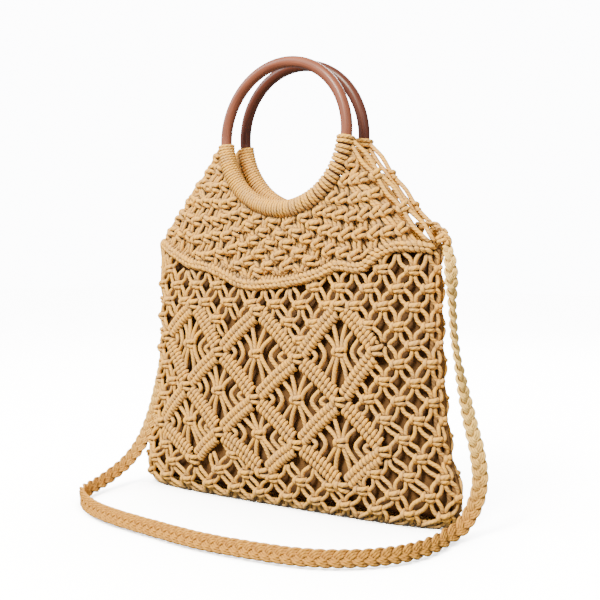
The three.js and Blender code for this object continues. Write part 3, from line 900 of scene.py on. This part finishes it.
def hitched_bar(start, end, offset, slant):
    """Loops in a row from start to end, moved aside by offset and bowed a little."""
    run = end - start
    length = np.linalg.norm(run)
    ahead = run / length
    across = np.array((-ahead[1], ahead[0]))
    count = max(3, round(length / HITCH_PITCH))
    paths = []
    for i in range(count):
        share = (i + 0.5) / count
        centre = start + run * share + across * (offset + BAR_BOW * math.sin(math.pi * share))
        paths.append(hitch(centre, ahead, slant * dice.uniform(0.7, 1.3)))
    return paths


def edge_between(first, second):
    """Two bars side by side between two crossings."""
    start, end = crossing(first), crossing(second)
    ahead = (end - start) / np.linalg.norm(end - start)
    start, end = start + ahead * BAR_INSET, end - ahead * BAR_INSET
    if end[0] < start[0]:
        start, end = end, start
    rising = 1.0 if end[1] > start[1] else -1.0
    paths = []
    for offset in (-BAR_SPREAD, BAR_SPREAD):
        paths += hitched_bar(start, end, offset, BAR_SLANT * rising)
    return paths


# %% The inside of a diamond
INNER_PORT = 0.24
OUTER_PORT = 0.78
MIDDLE_KNOT_RISE = 0.0015
MIDDLE_KNOT = (0.0140, 0.0085, 0.0004)
CROSSING_KNOT = (0.0155, 0.0094, 0.0008)
EDGE_INSET = 0.0052


def diamond_inside(top):
    """Cords from the upper bars to the middle knot and on to the lower bars, and two at each side."""
    row, column = top
    upper, lower = crossing(top), crossing((row + 2, column))
    middle = (upper + lower) / 2 + np.array((0.0, MIDDLE_KNOT_RISE))
    knot = Knot(middle, math.radians(dice.uniform(-4, 4)), *MIDDLE_KNOT)
    paths = knot.cords()
    for side in (-1, 1):
        corner = crossing((row + 1, column + side))

        def on_edge(end, share):
            point = end + (corner - end) * share
            pull = middle - point
            return point + pull / np.linalg.norm(pull) * EDGE_INSET

        for share, port in ((0.22, INNER_PORT), (0.45, OUTER_PORT)):
            high = on_edge(upper, share)
            low = on_edge(lower, share)
            bend = (high + middle) / 2 + np.array((-side * 0.0006, 0.0))
            guides = [(*high, -0.0030), (*bend, -0.0012), knot.at(side * port, 0.9, -0.0014)]
            guides.append(knot.at(side * port * 0.8, 0.2, -0.0020))
            paths.append(laid(guides, 3))
            bend = (low + middle) / 2 + np.array((side * 0.0012, 0.0))
            guides = [knot.at(side * port * 0.8, -0.2, -0.0020), knot.at(side * port, -0.9, -0.0014)]
            guides += [(*bend, -0.0012), (*low, -0.0030)]
            paths.append(laid(guides, 3))
        for share, pull in ((0.64, 0.36), (0.82, 0.22)):
            high = on_edge(upper, share)
            low = on_edge(lower, share)
            bend = (high + low) / 2
            bend = bend + (middle - bend) * pull
            paths.append(laid([(*high, -0.0030), (*bend, -0.0006), (*low, -0.0030)], 4))
    return paths


# %% Lay out the lattice
def lattice_cords():
    edges = set()
    for row, column in DIAMOND_TOPS:
        for side in (-1, 1):
            corner = (row + 1, column + side)
            edges.add(((row, column), corner))
            edges.add((corner, (row + 2, column)))
    cords = []
    for first, second in sorted(edges):
        cords += edge_between(first, second)
    for key in CROSSINGS:
        tilt = math.radians(dice.uniform(-8, 8))
        cords += Knot(crossing(key), tilt, *CROSSING_KNOT).cords()
    for top in DIAMOND_TOPS:
        cords += diamond_inside(top)
    return cords


lattice = lattice_cords()
plan_piece("diamonds_front", 1, lattice, "front_net")
plan_piece("diamonds_back", -1, lattice, "back_net")

# %% [markdown]
# ## The wavy ridge
# Two rows of half hitches, one over the other, run from shoulder to shoulder in a shallow wave. They
# lock the ends of the yoke's cords before the net begins. Each hitch is a short slanted cord, and
# the dice make one a little fuller, steeper or higher than the next.

# %% Ridge of half hitches
RIDGE_PITCH = 0.0050
RIDGE_ROWS = (-0.0016, 0.0022)
RIDGE_END = 0.005


def on_ridge(station):
    """Place and direction of the ridge's line, a way along it from the left shoulder."""
    near = station + np.array([-0.002, 0.0, 0.002])
    line = np.stack([np.interp(near, wave_stations, wave_line[:, k]) for k in (0, 1)], axis=1)
    run = line[2] - line[0]
    return line[1], run / np.linalg.norm(run)


def ridge_cords():
    cords = []
    count = int(wave_stations[-1] / RIDGE_PITCH)
    for row, rise in enumerate(RIDGE_ROWS):
        for i in range(count):
            share = (i + 0.5 + 0.5 * row) / (count + 1)
            place, run = on_ridge(RIDGE_END + share * (wave_stations[-1] - 2 * RIDGE_END))
            up = np.array((-run[1], run[0]))
            centre = place + up * (rise + dice.uniform(-0.0004, 0.0004))
            half = run * dice.uniform(0.0020, 0.0040) - up * dice.uniform(0.0012, 0.0030)
            rows = [(-1.0, -0.0030), (-0.55, 0.0006), (0.0, 0.0022), (0.55, 0.0006), (1.0, -0.0030)]
            guides = [(*(centre + half * share), lift) for share, lift in rows]
            cords.append(laid(guides, 2, dice.uniform(0.0019, 0.0024), 0.25))
    return cords


ridge = ridge_cords()
plan_piece("ridge_front", 1, ridge, "front_wave_cord")
plan_piece("ridge_back", -1, ridge, "back_wave_cord")

# %% [markdown]
# ## The yoke
# From the ring the cords fan out to the shoulders, tied in close rows of square knots that follow
# the ring's curve. The rows open a little towards the ridge. At the right edge the knots stop short
# and two long cords are held by a few knots, and at the left edge three cords run close together.
# Plain cords lie behind the knots, so the yoke has no holes.

# %% Lay out the yoke
YOKE_HALF_STEPS = 13
YOKE_KNOTTED = 11
YOKE_KNOT_HEIGHT = 0.0088
YOKE_FAN = math.radians(85)
YOKE_ROW_PITCH = 0.0094
YOKE_START = 0.0775
YOKE_ROWS = 18
YOKE_FIRST_ROW = 0.0075
YOKE_ROW_GROWTH = 0.00008
YOKE_CLEARANCE = 0.0085
YOKE_FOOT_LEFT = -0.166
YOKE_FOOT_WIDTH = 0.336
YOKE_EDGE_COLUMN = -YOKE_HALF_STEPS + 0.55


def yoke_line(share):
    """Start at the ring and end at the ridge of the fan line at a share from -1 to 1."""
    angle = share * YOKE_FAN
    across = RING_SHIFT + YOKE_START * math.sin(angle)
    height = RING_CENTRE_HEIGHT - YOKE_START * math.cos(angle)
    low = YOKE_FOOT_LEFT + (share + 1) / 2 * YOKE_FOOT_WIDTH
    return np.array((round_at(across, height), height)), np.array((low, float(wave_height(low))))


def yoke_place(column, row):
    """A knot's place in the yoke, how much of its line is left below it, and the line's tilt."""
    start, end = yoke_line(column / YOKE_HALF_STEPS)
    run = end - start
    length = np.linalg.norm(run)
    depth = YOKE_FIRST_ROW + YOKE_ROW_PITCH * row + YOKE_ROW_GROWTH * row * row
    ahead = run / length
    return start + ahead * depth, length - depth, math.atan2(ahead[0], -ahead[1])


def yoke_knots():
    knots = {}
    for row in range(YOKE_ROWS):
        for column in range(-YOKE_HALF_STEPS, YOKE_HALF_STEPS + 1):
            if (column + row) % 2 == 0 or column > YOKE_KNOTTED:
                continue
            place, left, tilt = yoke_place(max(column, YOKE_EDGE_COLUMN), row)
            if left < YOKE_CLEARANCE:
                continue
            beside = [yoke_place(column + step, row)[0] for step in (0.5, -0.5)]
            spacing = np.linalg.norm(beside[0] - beside[1])
            width = min(0.0156, max(0.0120, spacing * 1.34))
            shift = (dice.uniform(-0.0015, 0.0015), dice.uniform(-0.0013, 0.0013))
            turn = tilt * 0.62 + math.radians(dice.uniform(-21, 21))
            width *= dice.uniform(0.86, 1.08) * (0.85 if column == -YOKE_HALF_STEPS else 1.0)
            knots[column, row] = Knot(place + shift, turn, width, YOKE_KNOT_HEIGHT)
    return knots


yoke = yoke_knots()
print("yoke knots on a face:", len(yoke))


# %% Loose cords down the yoke's edges
EDGE_SHARES = {1: (0.915, 1.000), -1: (0.940, 0.970, 1.000)}
EDGE_STOPS = (0.0, 0.33, 0.66, 1.0)
EDGE_FOOT = (0.1655, 0.2525)
EDGE_KNOT = (0.0125, 0.0085, 0.0004)


def edge_cords():
    """Long cords at each edge from the ring to the shoulder, with a few knots at the right."""
    cords = []
    for side in (-1, 1):
        lines = []
        for order, share in enumerate(EDGE_SHARES[side]):
            start, end = yoke_line(side * share)
            inside = 0.0120 * (1 - order) if side > 0 else 0.0042 * (2 - order) - 0.0025
            end = np.array((side * (EDGE_FOOT[0] - inside), EDGE_FOOT[1]))
            lines.append((start, end))
        middle_start = np.mean([start for start, end in lines], axis=0)
        middle_end = np.mean([end for start, end in lines], axis=0)
        for start, end in lines:
            path = []
            for share in np.linspace(0.0, 1.0, 13):
                place = start + (end - start) * share
                middle = middle_start + (middle_end - middle_start) * share
                pinch = min(abs(share - stop) for stop in EDGE_STOPS) / 0.165
                if side > 0:
                    place = middle + (place - middle) * (0.42 + 0.55 * min(pinch, 1.0))
                    lift = -0.0010 + 0.0010 * pinch
                else:
                    place = place + np.array((0.0009 * math.sin(share * 21 + start[0] * 900), 0.0))
                    lift = -0.0012 + 0.0010 * math.sin(share * 17 + start[0] * 1300)
                path.append((*place, lift))
            cords.append(laid(path, 2, 0.0021))
        for share in EDGE_STOPS[1:-1] if side > 0 else ():
            place = middle_start + (middle_end - middle_start) * share
            run = middle_end - middle_start
            tilt = math.atan2(run[0], -run[1]) * 0.7
            cords += Knot(place, tilt, *EDGE_KNOT).cords()
    return cords


# %% Cords of the yoke
YOKE_KNOT_WIDTH = 0.014
TOP_KNOT_WIDTH = 0.0125
BACKING_DEPTH = 0.0058


def below_ridge(point):
    return point[1] < wave_height(point[0])


def yoke_cords():
    """The knots with their cords, and plain cords behind them from the ring to the ridge."""
    paths = []
    for (column, row), knot in yoke.items():
        paths += knot.cords()
        for side in (-1, 1):
            if abs(column + side) > YOKE_HALF_STEPS:
                continue
            below = yoke.get((column + side, row + 1))
            if below is None:
                place, _, tilt = yoke_place(column + side, row + 1)
                below = Knot(place, tilt, YOKE_KNOT_WIDTH, YOKE_KNOT_HEIGHT)
            paths += close_pair(knot, below)
            if row == 0:
                place, _, tilt = yoke_place(column + side, -1)
                above = Knot(place, tilt, TOP_KNOT_WIDTH, YOKE_KNOT_HEIGHT)
                paths += [(points[::-1], radii) for points, radii in close_pair(above, knot)]
    for column in np.arange(-YOKE_HALF_STEPS, YOKE_KNOTTED + 0.4, 1 / 3):
        start, end = yoke_line(column / YOKE_HALF_STEPS)
        near = 1.0 - 0.011 / float(np.linalg.norm(end - start))
        stops = (0.0, 0.3, 0.6, near)
        rows = [(*(start + (end - start) * share), -BACKING_DEPTH) for share in stops]
        rows.append((*end, -0.0012))
        paths.append(laid(rows, 4))
    paths = [stop_at(cord, below_ridge) for cord in paths]
    return [cord for cord in paths if cord]


yoke_cotton = yoke_cords() + edge_cords()
plan_piece("yoke_front", 1, yoke_cotton, "front_yoke")
plan_piece("yoke_back", -1, yoke_cotton, "back_yoke")

# %% [markdown]
# ## The rings
# Each handle is a ring of bent and varnished wood, about 11 mm thick. It is a circle spun round an
#  axis. The ring at the back has a copy of the finish painted darker, as painted shade, because it hardly
#  gets any light from the front.
# A bevelled curve would do too, but a spun circle closes without a seam. The grain runs round the
# ring, so the finish reads values that are stored with the mesh: the way round the ring, and the way
# round the rod as a sine and a cosine, which meet without a step.

# %% Wood finish
STAIN_SCALE = 28.0


def varnished_wood(name, light, dark):
    made = Finish(
        name, Roughness=0.42, Specular_IOR_Level=0.3, Coat_Weight=0.12, Coat_Roughness=0.2
    )
    stripes = made.noise(made.stored("grain"), 1.0, 4.0, 0.6)
    clouds = made.noise(made.place(), STAIN_SCALE, 2.0)
    blend = (stripes * 2.0 + clouds * 0.6 - 0.8).clamped()
    made.set("Base Color", made.mixed(blend, dark, light))
    made.bumped(stripes, 0.0002, 0.4)
    return made.material


ring_wood = varnished_wood(
    "ring_wood", light=(0.30, 0.096, 0.050, 1), dark=(0.13, 0.038, 0.020, 1)
)
# painted shade: a darker copy of the wood finish for the back ring, which gets little light
painted_shade_ring_wood = varnished_wood(
    "painted_shade_ring_wood", light=(0.135, 0.038, 0.020, 1), dark=(0.060, 0.015, 0.008, 1)
)
print("woods:", ring_wood.name, painted_shade_ring_wood.name)


# %% From a bmesh to an object
def object_from(shape, name, finish):
    """Ends a bmesh and links a smooth object that is made of it."""
    mesh = bpy.data.meshes.new(name)
    shape.to_mesh(mesh)
    shape.free()
    mesh.materials.append(finish)
    mesh.polygons.foreach_set("use_smooth", [True] * len(mesh.polygons))
    piece = bpy.data.objects.new(name, mesh)
    bpy.context.collection.objects.link(piece)
    return piece


# %% Spin the rings
ROD_SIDES = 20
RING_STEPS = 112
GRAIN_LENGTHWAYS = 2.5
GRAIN_AROUND = 4.0


def ring_frame(face):
    """Centre, sideways direction and upright direction of a ring's plane."""
    centre = Vector((RING_SHIFT, -face * HALF_RING_SPACING, RING_CENTRE_HEIGHT))
    upright = Vector((0.0, face * math.tan(RING_LEAN), 1.0)).normalized()
    return centre, Vector((1.0, 0.0, 0.0)), upright


def ring_piece(name, face, node, finish):
    centre, across, upright = ring_frame(face)
    axis = across.cross(upright)
    shape = bmesh.new()
    turn = Matrix((across, axis, upright)).transposed()
    bmesh.ops.create_circle(shape, cap_ends=False, segments=ROD_SIDES, radius=ROD_RADIUS)
    bmesh.ops.rotate(shape, verts=shape.verts, cent=(0, 0, 0), matrix=turn)
    bmesh.ops.translate(shape, verts=shape.verts, vec=centre + across * RING_RADIUS)
    bmesh.ops.spin(
        shape,
        geom=shape.edges[:],
        cent=centre,
        axis=axis,
        angle=2 * math.pi,
        steps=RING_STEPS,
        use_merge=True,
    )
    bmesh.ops.recalc_face_normals(shape, faces=shape.faces)
    piece = object_from(shape, name, finish)
    mesh = piece.data
    grain = mesh.attributes.new("grain", "FLOAT_VECTOR", "POINT")
    values = np.zeros((len(mesh.vertices), 3))
    for i, vertex in enumerate(mesh.vertices):
        flat = vertex.co - centre
        angle = math.atan2(flat.dot(upright), flat.dot(across))
        spoke = across * math.cos(angle) + upright * math.sin(angle)
        rod = math.atan2(flat.dot(axis), flat.dot(spoke) - RING_RADIUS)
        values[i] = (angle * GRAIN_LENGTHWAYS, math.cos(rod) * GRAIN_AROUND, math.sin(rod) * GRAIN_AROUND)
    grain.data.foreach_set("vector", values.ravel())
    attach(piece, "root")
    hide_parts(node)
    print(name, "faces", len(mesh.polygons))


ring_piece("ring_front", 1, "front_ring", ring_wood)
ring_piece("ring_back", -1, "back_ring", painted_shade_ring_wood)


# %% [markdown]
# ## Larks' heads on the rings
# The cords hang from the lower half of each ring in larks' heads. From outside they look like loops
# wound close together round the rod, in pairs. Only those turns show, so each is a closed loop, and
# no cord is led behind the rod. Towards the right end they lie a little looser.

# %% Loops round a ring
WRAP_PITCH = 0.0027
WRAP_HALF_TURN = math.radians(86)
LOOP_RADIUS = 0.00155
LOOP_STEPS = 12
LOOP_LEAN = 0.0006


def looseness(angle):
    """0 on the left and at the bottom of the ring, rising to 1 at its right end."""
    return min(max((angle + 0.3) / 1.0, 0.0), 1.0)


def wrap_cords(face):
    """The loops round one ring, from its left end to its right end."""
    centre, across, upright = ring_frame(face)
    axis = across.cross(upright)
    angles = [-WRAP_HALF_TURN + 0.5 * WRAP_PITCH / RING_RADIUS]
    while angles[-1] < WRAP_HALF_TURN:
        loose = looseness(angles[-1])
        gap = 0.0003 + 0.0010 * loose if len(angles) % 2 == 0 else 0.0
        angles.append(angles[-1] + (WRAP_PITCH + 0.0011 * loose + gap) / RING_RADIUS)
    paths = []
    for angle in angles[:-1]:
        spoke = across * math.sin(angle) - upright * math.cos(angle)
        forward = across * math.cos(angle) + upright * math.sin(angle)
        hub = centre + spoke * RING_RADIUS
        radius = LOOP_RADIUS + 0.0005 * looseness(angle)
        loop = []
        for k in range(LOOP_STEPS):
            rod = 2 * math.pi * k / LOOP_STEPS
            lean = forward * LOOP_LEAN * math.sin(rod)
            away = WRAP_RADIUS - LOOP_RADIUS + 0.0004 * looseness(angle)
            loop.append(hub + (spoke * math.cos(rod) + axis * math.sin(rod)) * away + lean)
        paths.append((np.array([tuple(p) for p in loop]), radius))
    return paths


cord_piece("ring_wrap_front", wrap_cords(1), "front_ring_wrap", closed=True)
cord_piece("ring_wrap_back", wrap_cords(-1), "back_ring_wrap", closed=True)

# %% [markdown]
# ## The lining
# Inside hangs a plain pouch of thin brown cloth. It shows through the holes of the net as a soft,
# slightly creased surface. Two grids are bent onto the bag's surface a few millimetres inside the
# net, joined at the sides and closed at the bottom, and a Solidify modifier gives them a thickness.
# The net presses the cloth nearly flat, so two slanted waves are enough for its folds, and it needs
# no simulation.

# %% Cloth finish
WEAVE_SCALE = 1500.0
CLOUD_SCALE = 20.0
SHADE_REACH = 0.02


def plain_cloth(name, light, dark, deep):
    made = Finish(name, Roughness=0.9)
    place = made.place()
    weave = made.noise(place, WEAVE_SCALE, 2.0)
    clouds = made.noise(place, CLOUD_SCALE, 3.0)
    plain = made.mixed((clouds * 1.2 - 0.1).clamped(), dark, light)
    # Painted shade: where the cloth is shut in, it is mixed towards the deep colour.
    unshaded_share = (made.painted_shade_mask(SHADE_REACH) * 1.6 - 0.35).clamped()
    made.set("Base Color", made.mixed(unshaded_share, deep, plain))
    made.bumped(weave, 0.0001, 0.5)
    return made.material


lining_cloth = plain_cloth(
    "lining_cloth",
    light=(0.31, 0.145, 0.030, 1),
    dark=(0.20, 0.090, 0.018, 1),
    deep=(0.045, 0.017, 0.003, 1),
)

# %% Bend two grids into a pouch
LINING_TOP = 0.2445
LINING_BOTTOM = 0.007
LINING_INSET = 0.0085


def lining_point(share, height, face):
    """A point of the cloth at a share of the way round, with soft folds that lean both ways."""
    fold = 0.0006 * math.sin(share * 31.0 + height * 60.0)
    fold += 0.0005 * math.sin(share * 13.0 - height * 95.0)
    inset = LINING_INSET - 0.0030 * max(0.0, abs(share) - 0.8) / 0.2
    plan = np.array([(share * float(reach(height)), height, -inset + min(fold, 0.0004))])
    return on_bag(plan, face)[0]


def lining_piece():
    shape = bmesh.new()
    for face in (1, -1):
        made = bmesh.ops.create_grid(shape, x_segments=64, y_segments=28, size=1.0)
        for vertex in made["verts"]:
            share, up = vertex.co.x, (vertex.co.y + 1) / 2
            height = LINING_BOTTOM + up * (LINING_TOP - LINING_BOTTOM)
            vertex.co = Vector(lining_point(share, height, face))
    bmesh.ops.remove_doubles(shape, verts=shape.verts, dist=0.0012)
    low = [e for e in shape.edges if e.is_boundary and all(v.co.z < 0.01 for v in e.verts)]
    bmesh.ops.edgeloop_fill(shape, edges=low)
    bmesh.ops.recalc_face_normals(shape, faces=shape.faces)
    piece = object_from(shape, "lining_cloth_pouch", lining_cloth)
    wall = piece.modifiers.new("cloth", "SOLIDIFY")
    wall.thickness = 0.0006
    wall.offset = -1.0
    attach(piece, "root")
    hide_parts("lining_pouch")
    print("lining faces", len(piece.data.polygons))


lining_piece()

# %% [markdown]
# ## The base
# Below the last knots the cords of the front and the back run on under the bag and meet, side by
# side, in one flat row. Each is one cord from the front edge to the back edge, as long as the pouch
# is deep there, so together they follow its rounded outline.

# %% Cords under the bag
BASE_PITCH = 0.0043
BASE_INSET = 0.006


def base_cords():
    wide, deep, _, _ = section(0.0)
    paths = []
    count = int(2 * (wide - BASE_INSET) / BASE_PITCH)
    for i in range(count):
        across = -wide + BASE_INSET + i * BASE_PITCH
        half = deep * math.sqrt(max(0.0, 1 - (abs(across) / wide) ** 4)) - 0.001
        points = [(across, -half, 0.0075), (across, -half + 0.0012, 0.0032)]
        points += [(across, -half * 0.4, LOWEST_CORD), (across, half * 0.4, LOWEST_CORD)]
        points += [(across, half - 0.0012, 0.0032), (across, half, 0.0075)]
        paths.append((smooth_path(points, 2), CORD_RADIUS))
    return paths


cord_piece("base_cords", base_cords(), "base_net")

# %% [markdown]
# ## The shoulder knots
# At each shoulder the edge cords of both yokes and the end of the strap are gathered in one lump of
# a knot: two turns of cord round the bundle. At the right the braid goes on over the shoulder, and
# at the left it ends in the knot.

# %% Turns of cord round the bundle
TURN_PITCH = 0.0038


def shoulder_cords(centre, axis, turns, radius):
    axis = Vector(axis).normalized()
    side = axis.orthogonal().normalized()
    front = axis.cross(side)
    paths = []
    for turn in range(turns):
        rise = (turn - (turns - 1) / 2) * TURN_PITCH
        loop = []
        for k in range(14):
            angle = 2 * math.pi * k / 14
            tilt = 0.0016 * math.sin(angle + turn)
            spoke = side * math.cos(angle) + front * math.sin(angle)
            loop.append(tuple(Vector(centre) + spoke * radius + axis * (rise + tilt)))
        paths.append((np.array(loop), CORD_RADIUS))
    return paths


def over_the_shoulder():
    """A short braid that ends between the right edges of the two yokes."""
    end = STRAP_ROUTE[0]
    guides = [(0.1480, 0.0, 0.2700), (0.1560, 0.0, 0.2660)]
    guides += [(0.1640, end[1] * 0.4, 0.2600), (0.1685, end[1] * 0.8, 0.2545), end]
    line, stations = evenly(smooth_path(guides, 6), STRAP_SPACING)
    return braid(line, stations)


# %% Make the knots
LEFT_KNOT_SHIFT = (0.0016, 0.0, -0.0060)


def shoulder_piece(name, node, lean, radius, shift, more_cords):
    low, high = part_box(node)
    centre = (low + high) / 2 + Vector(shift)
    turns = shoulder_cords(centre, (lean, 0.0, 1.0), 2, radius)
    loops = [(np.vstack([points, points[:1]]), thickness) for points, thickness in turns]
    cord_piece(name, loops + more_cords, node)


shoulder_piece(
    "shoulder_knot_right", "right_shoulder_knot", -0.5, 0.0052, (0, 0, 0), over_the_shoulder()
)
shoulder_piece(
    "shoulder_knot_left", "left_shoulder_knot", 0.5, 0.0040, LEFT_KNOT_SHIFT, []
)

# %% [markdown]
# ## Floor and light
# The bag stands on a white sweep under large soft lights, so its only shadow is a faint one where it
# touches the floor. A warm key light stands in front, weaker ones at the left, at the right and at
# the back. A wide sun lights the floor alone, and keeps it white. The world gives a low even light,
# and is bright only where the camera sees it as a background.

# %% Floor
floor_finish = Finish("floor_white", Roughness=0.9)
floor_finish.set("Base Color", (0.93, 0.93, 0.93, 1.0))
shape = bmesh.new()
bmesh.ops.create_grid(shape, x_segments=1, y_segments=1, size=6.0)
floor = object_from(shape, "floor", floor_finish.material)
floor.visible_diffuse = False
floor.visible_glossy = False
floor_only = bpy.data.collections.new("floor_only")
floor_only.objects.link(floor)
print("floor is 12 m wide")

# %% Lights
SKY_ON_THE_BAG = 0.46
SKY_BEHIND_THE_BAG = 13.0
world = bpy.data.worlds.new("studio")
world.use_nodes = True
sky = world.node_tree.nodes["Background"]
sky.inputs["Color"].default_value = (0.97, 0.98, 1.0, 1.0)
ray_kind = world.node_tree.nodes.new("ShaderNodeLightPath")
sky_strength = world.node_tree.nodes.new("ShaderNodeMapRange")
sky_strength.inputs["To Min"].default_value = SKY_ON_THE_BAG
sky_strength.inputs["To Max"].default_value = SKY_BEHIND_THE_BAG
world.node_tree.links.new(ray_kind.outputs["Is Camera Ray"], sky_strength.inputs["Value"])
world.node_tree.links.new(sky_strength.outputs["Result"], sky.inputs["Strength"])
bpy.context.scene.world = world


def soft_light(name, place, target, size, power):
    data = bpy.data.lights.new(name, "AREA")
    data.shape = "DISK"
    data.size = size
    data.energy = power
    lamp = bpy.data.objects.new(name, data)
    lamp.location = place
    lamp.rotation_euler = (Vector(target) - Vector(place)).to_track_quat("-Z", "Y").to_euler()
    bpy.context.collection.objects.link(lamp)
    return lamp


key = soft_light("key_light", (0.05, -1.55, 1.65), (0.0, 0.0, 0.15), 0.6, 113.0)
key.data.color = (1.0, 0.93, 0.78)
soft_light("back_light", (-0.5, 1.7, 1.3), (0.0, 0.0, 0.2), 1.0, 40.0)
soft_light("left_light", (-1.4, -1.0, 1.3), (0.0, 0.0, 0.2), 1.0, 32.0)
soft_light("right_light", (1.3, -0.8, 0.9), (0.15, 0.0, 0.2), 0.8, 6.0)
sun_data = bpy.data.lights.new("sweep_light", "SUN")
sun_data.energy = 42.0
sun_data.angle = math.radians(110)
sweep_light = bpy.data.objects.new("sweep_light", sun_data)
bpy.context.collection.objects.link(sweep_light)
sweep_light.light_linking.receiver_collection = floor_only
print("lights:", len(bpy.data.lights))
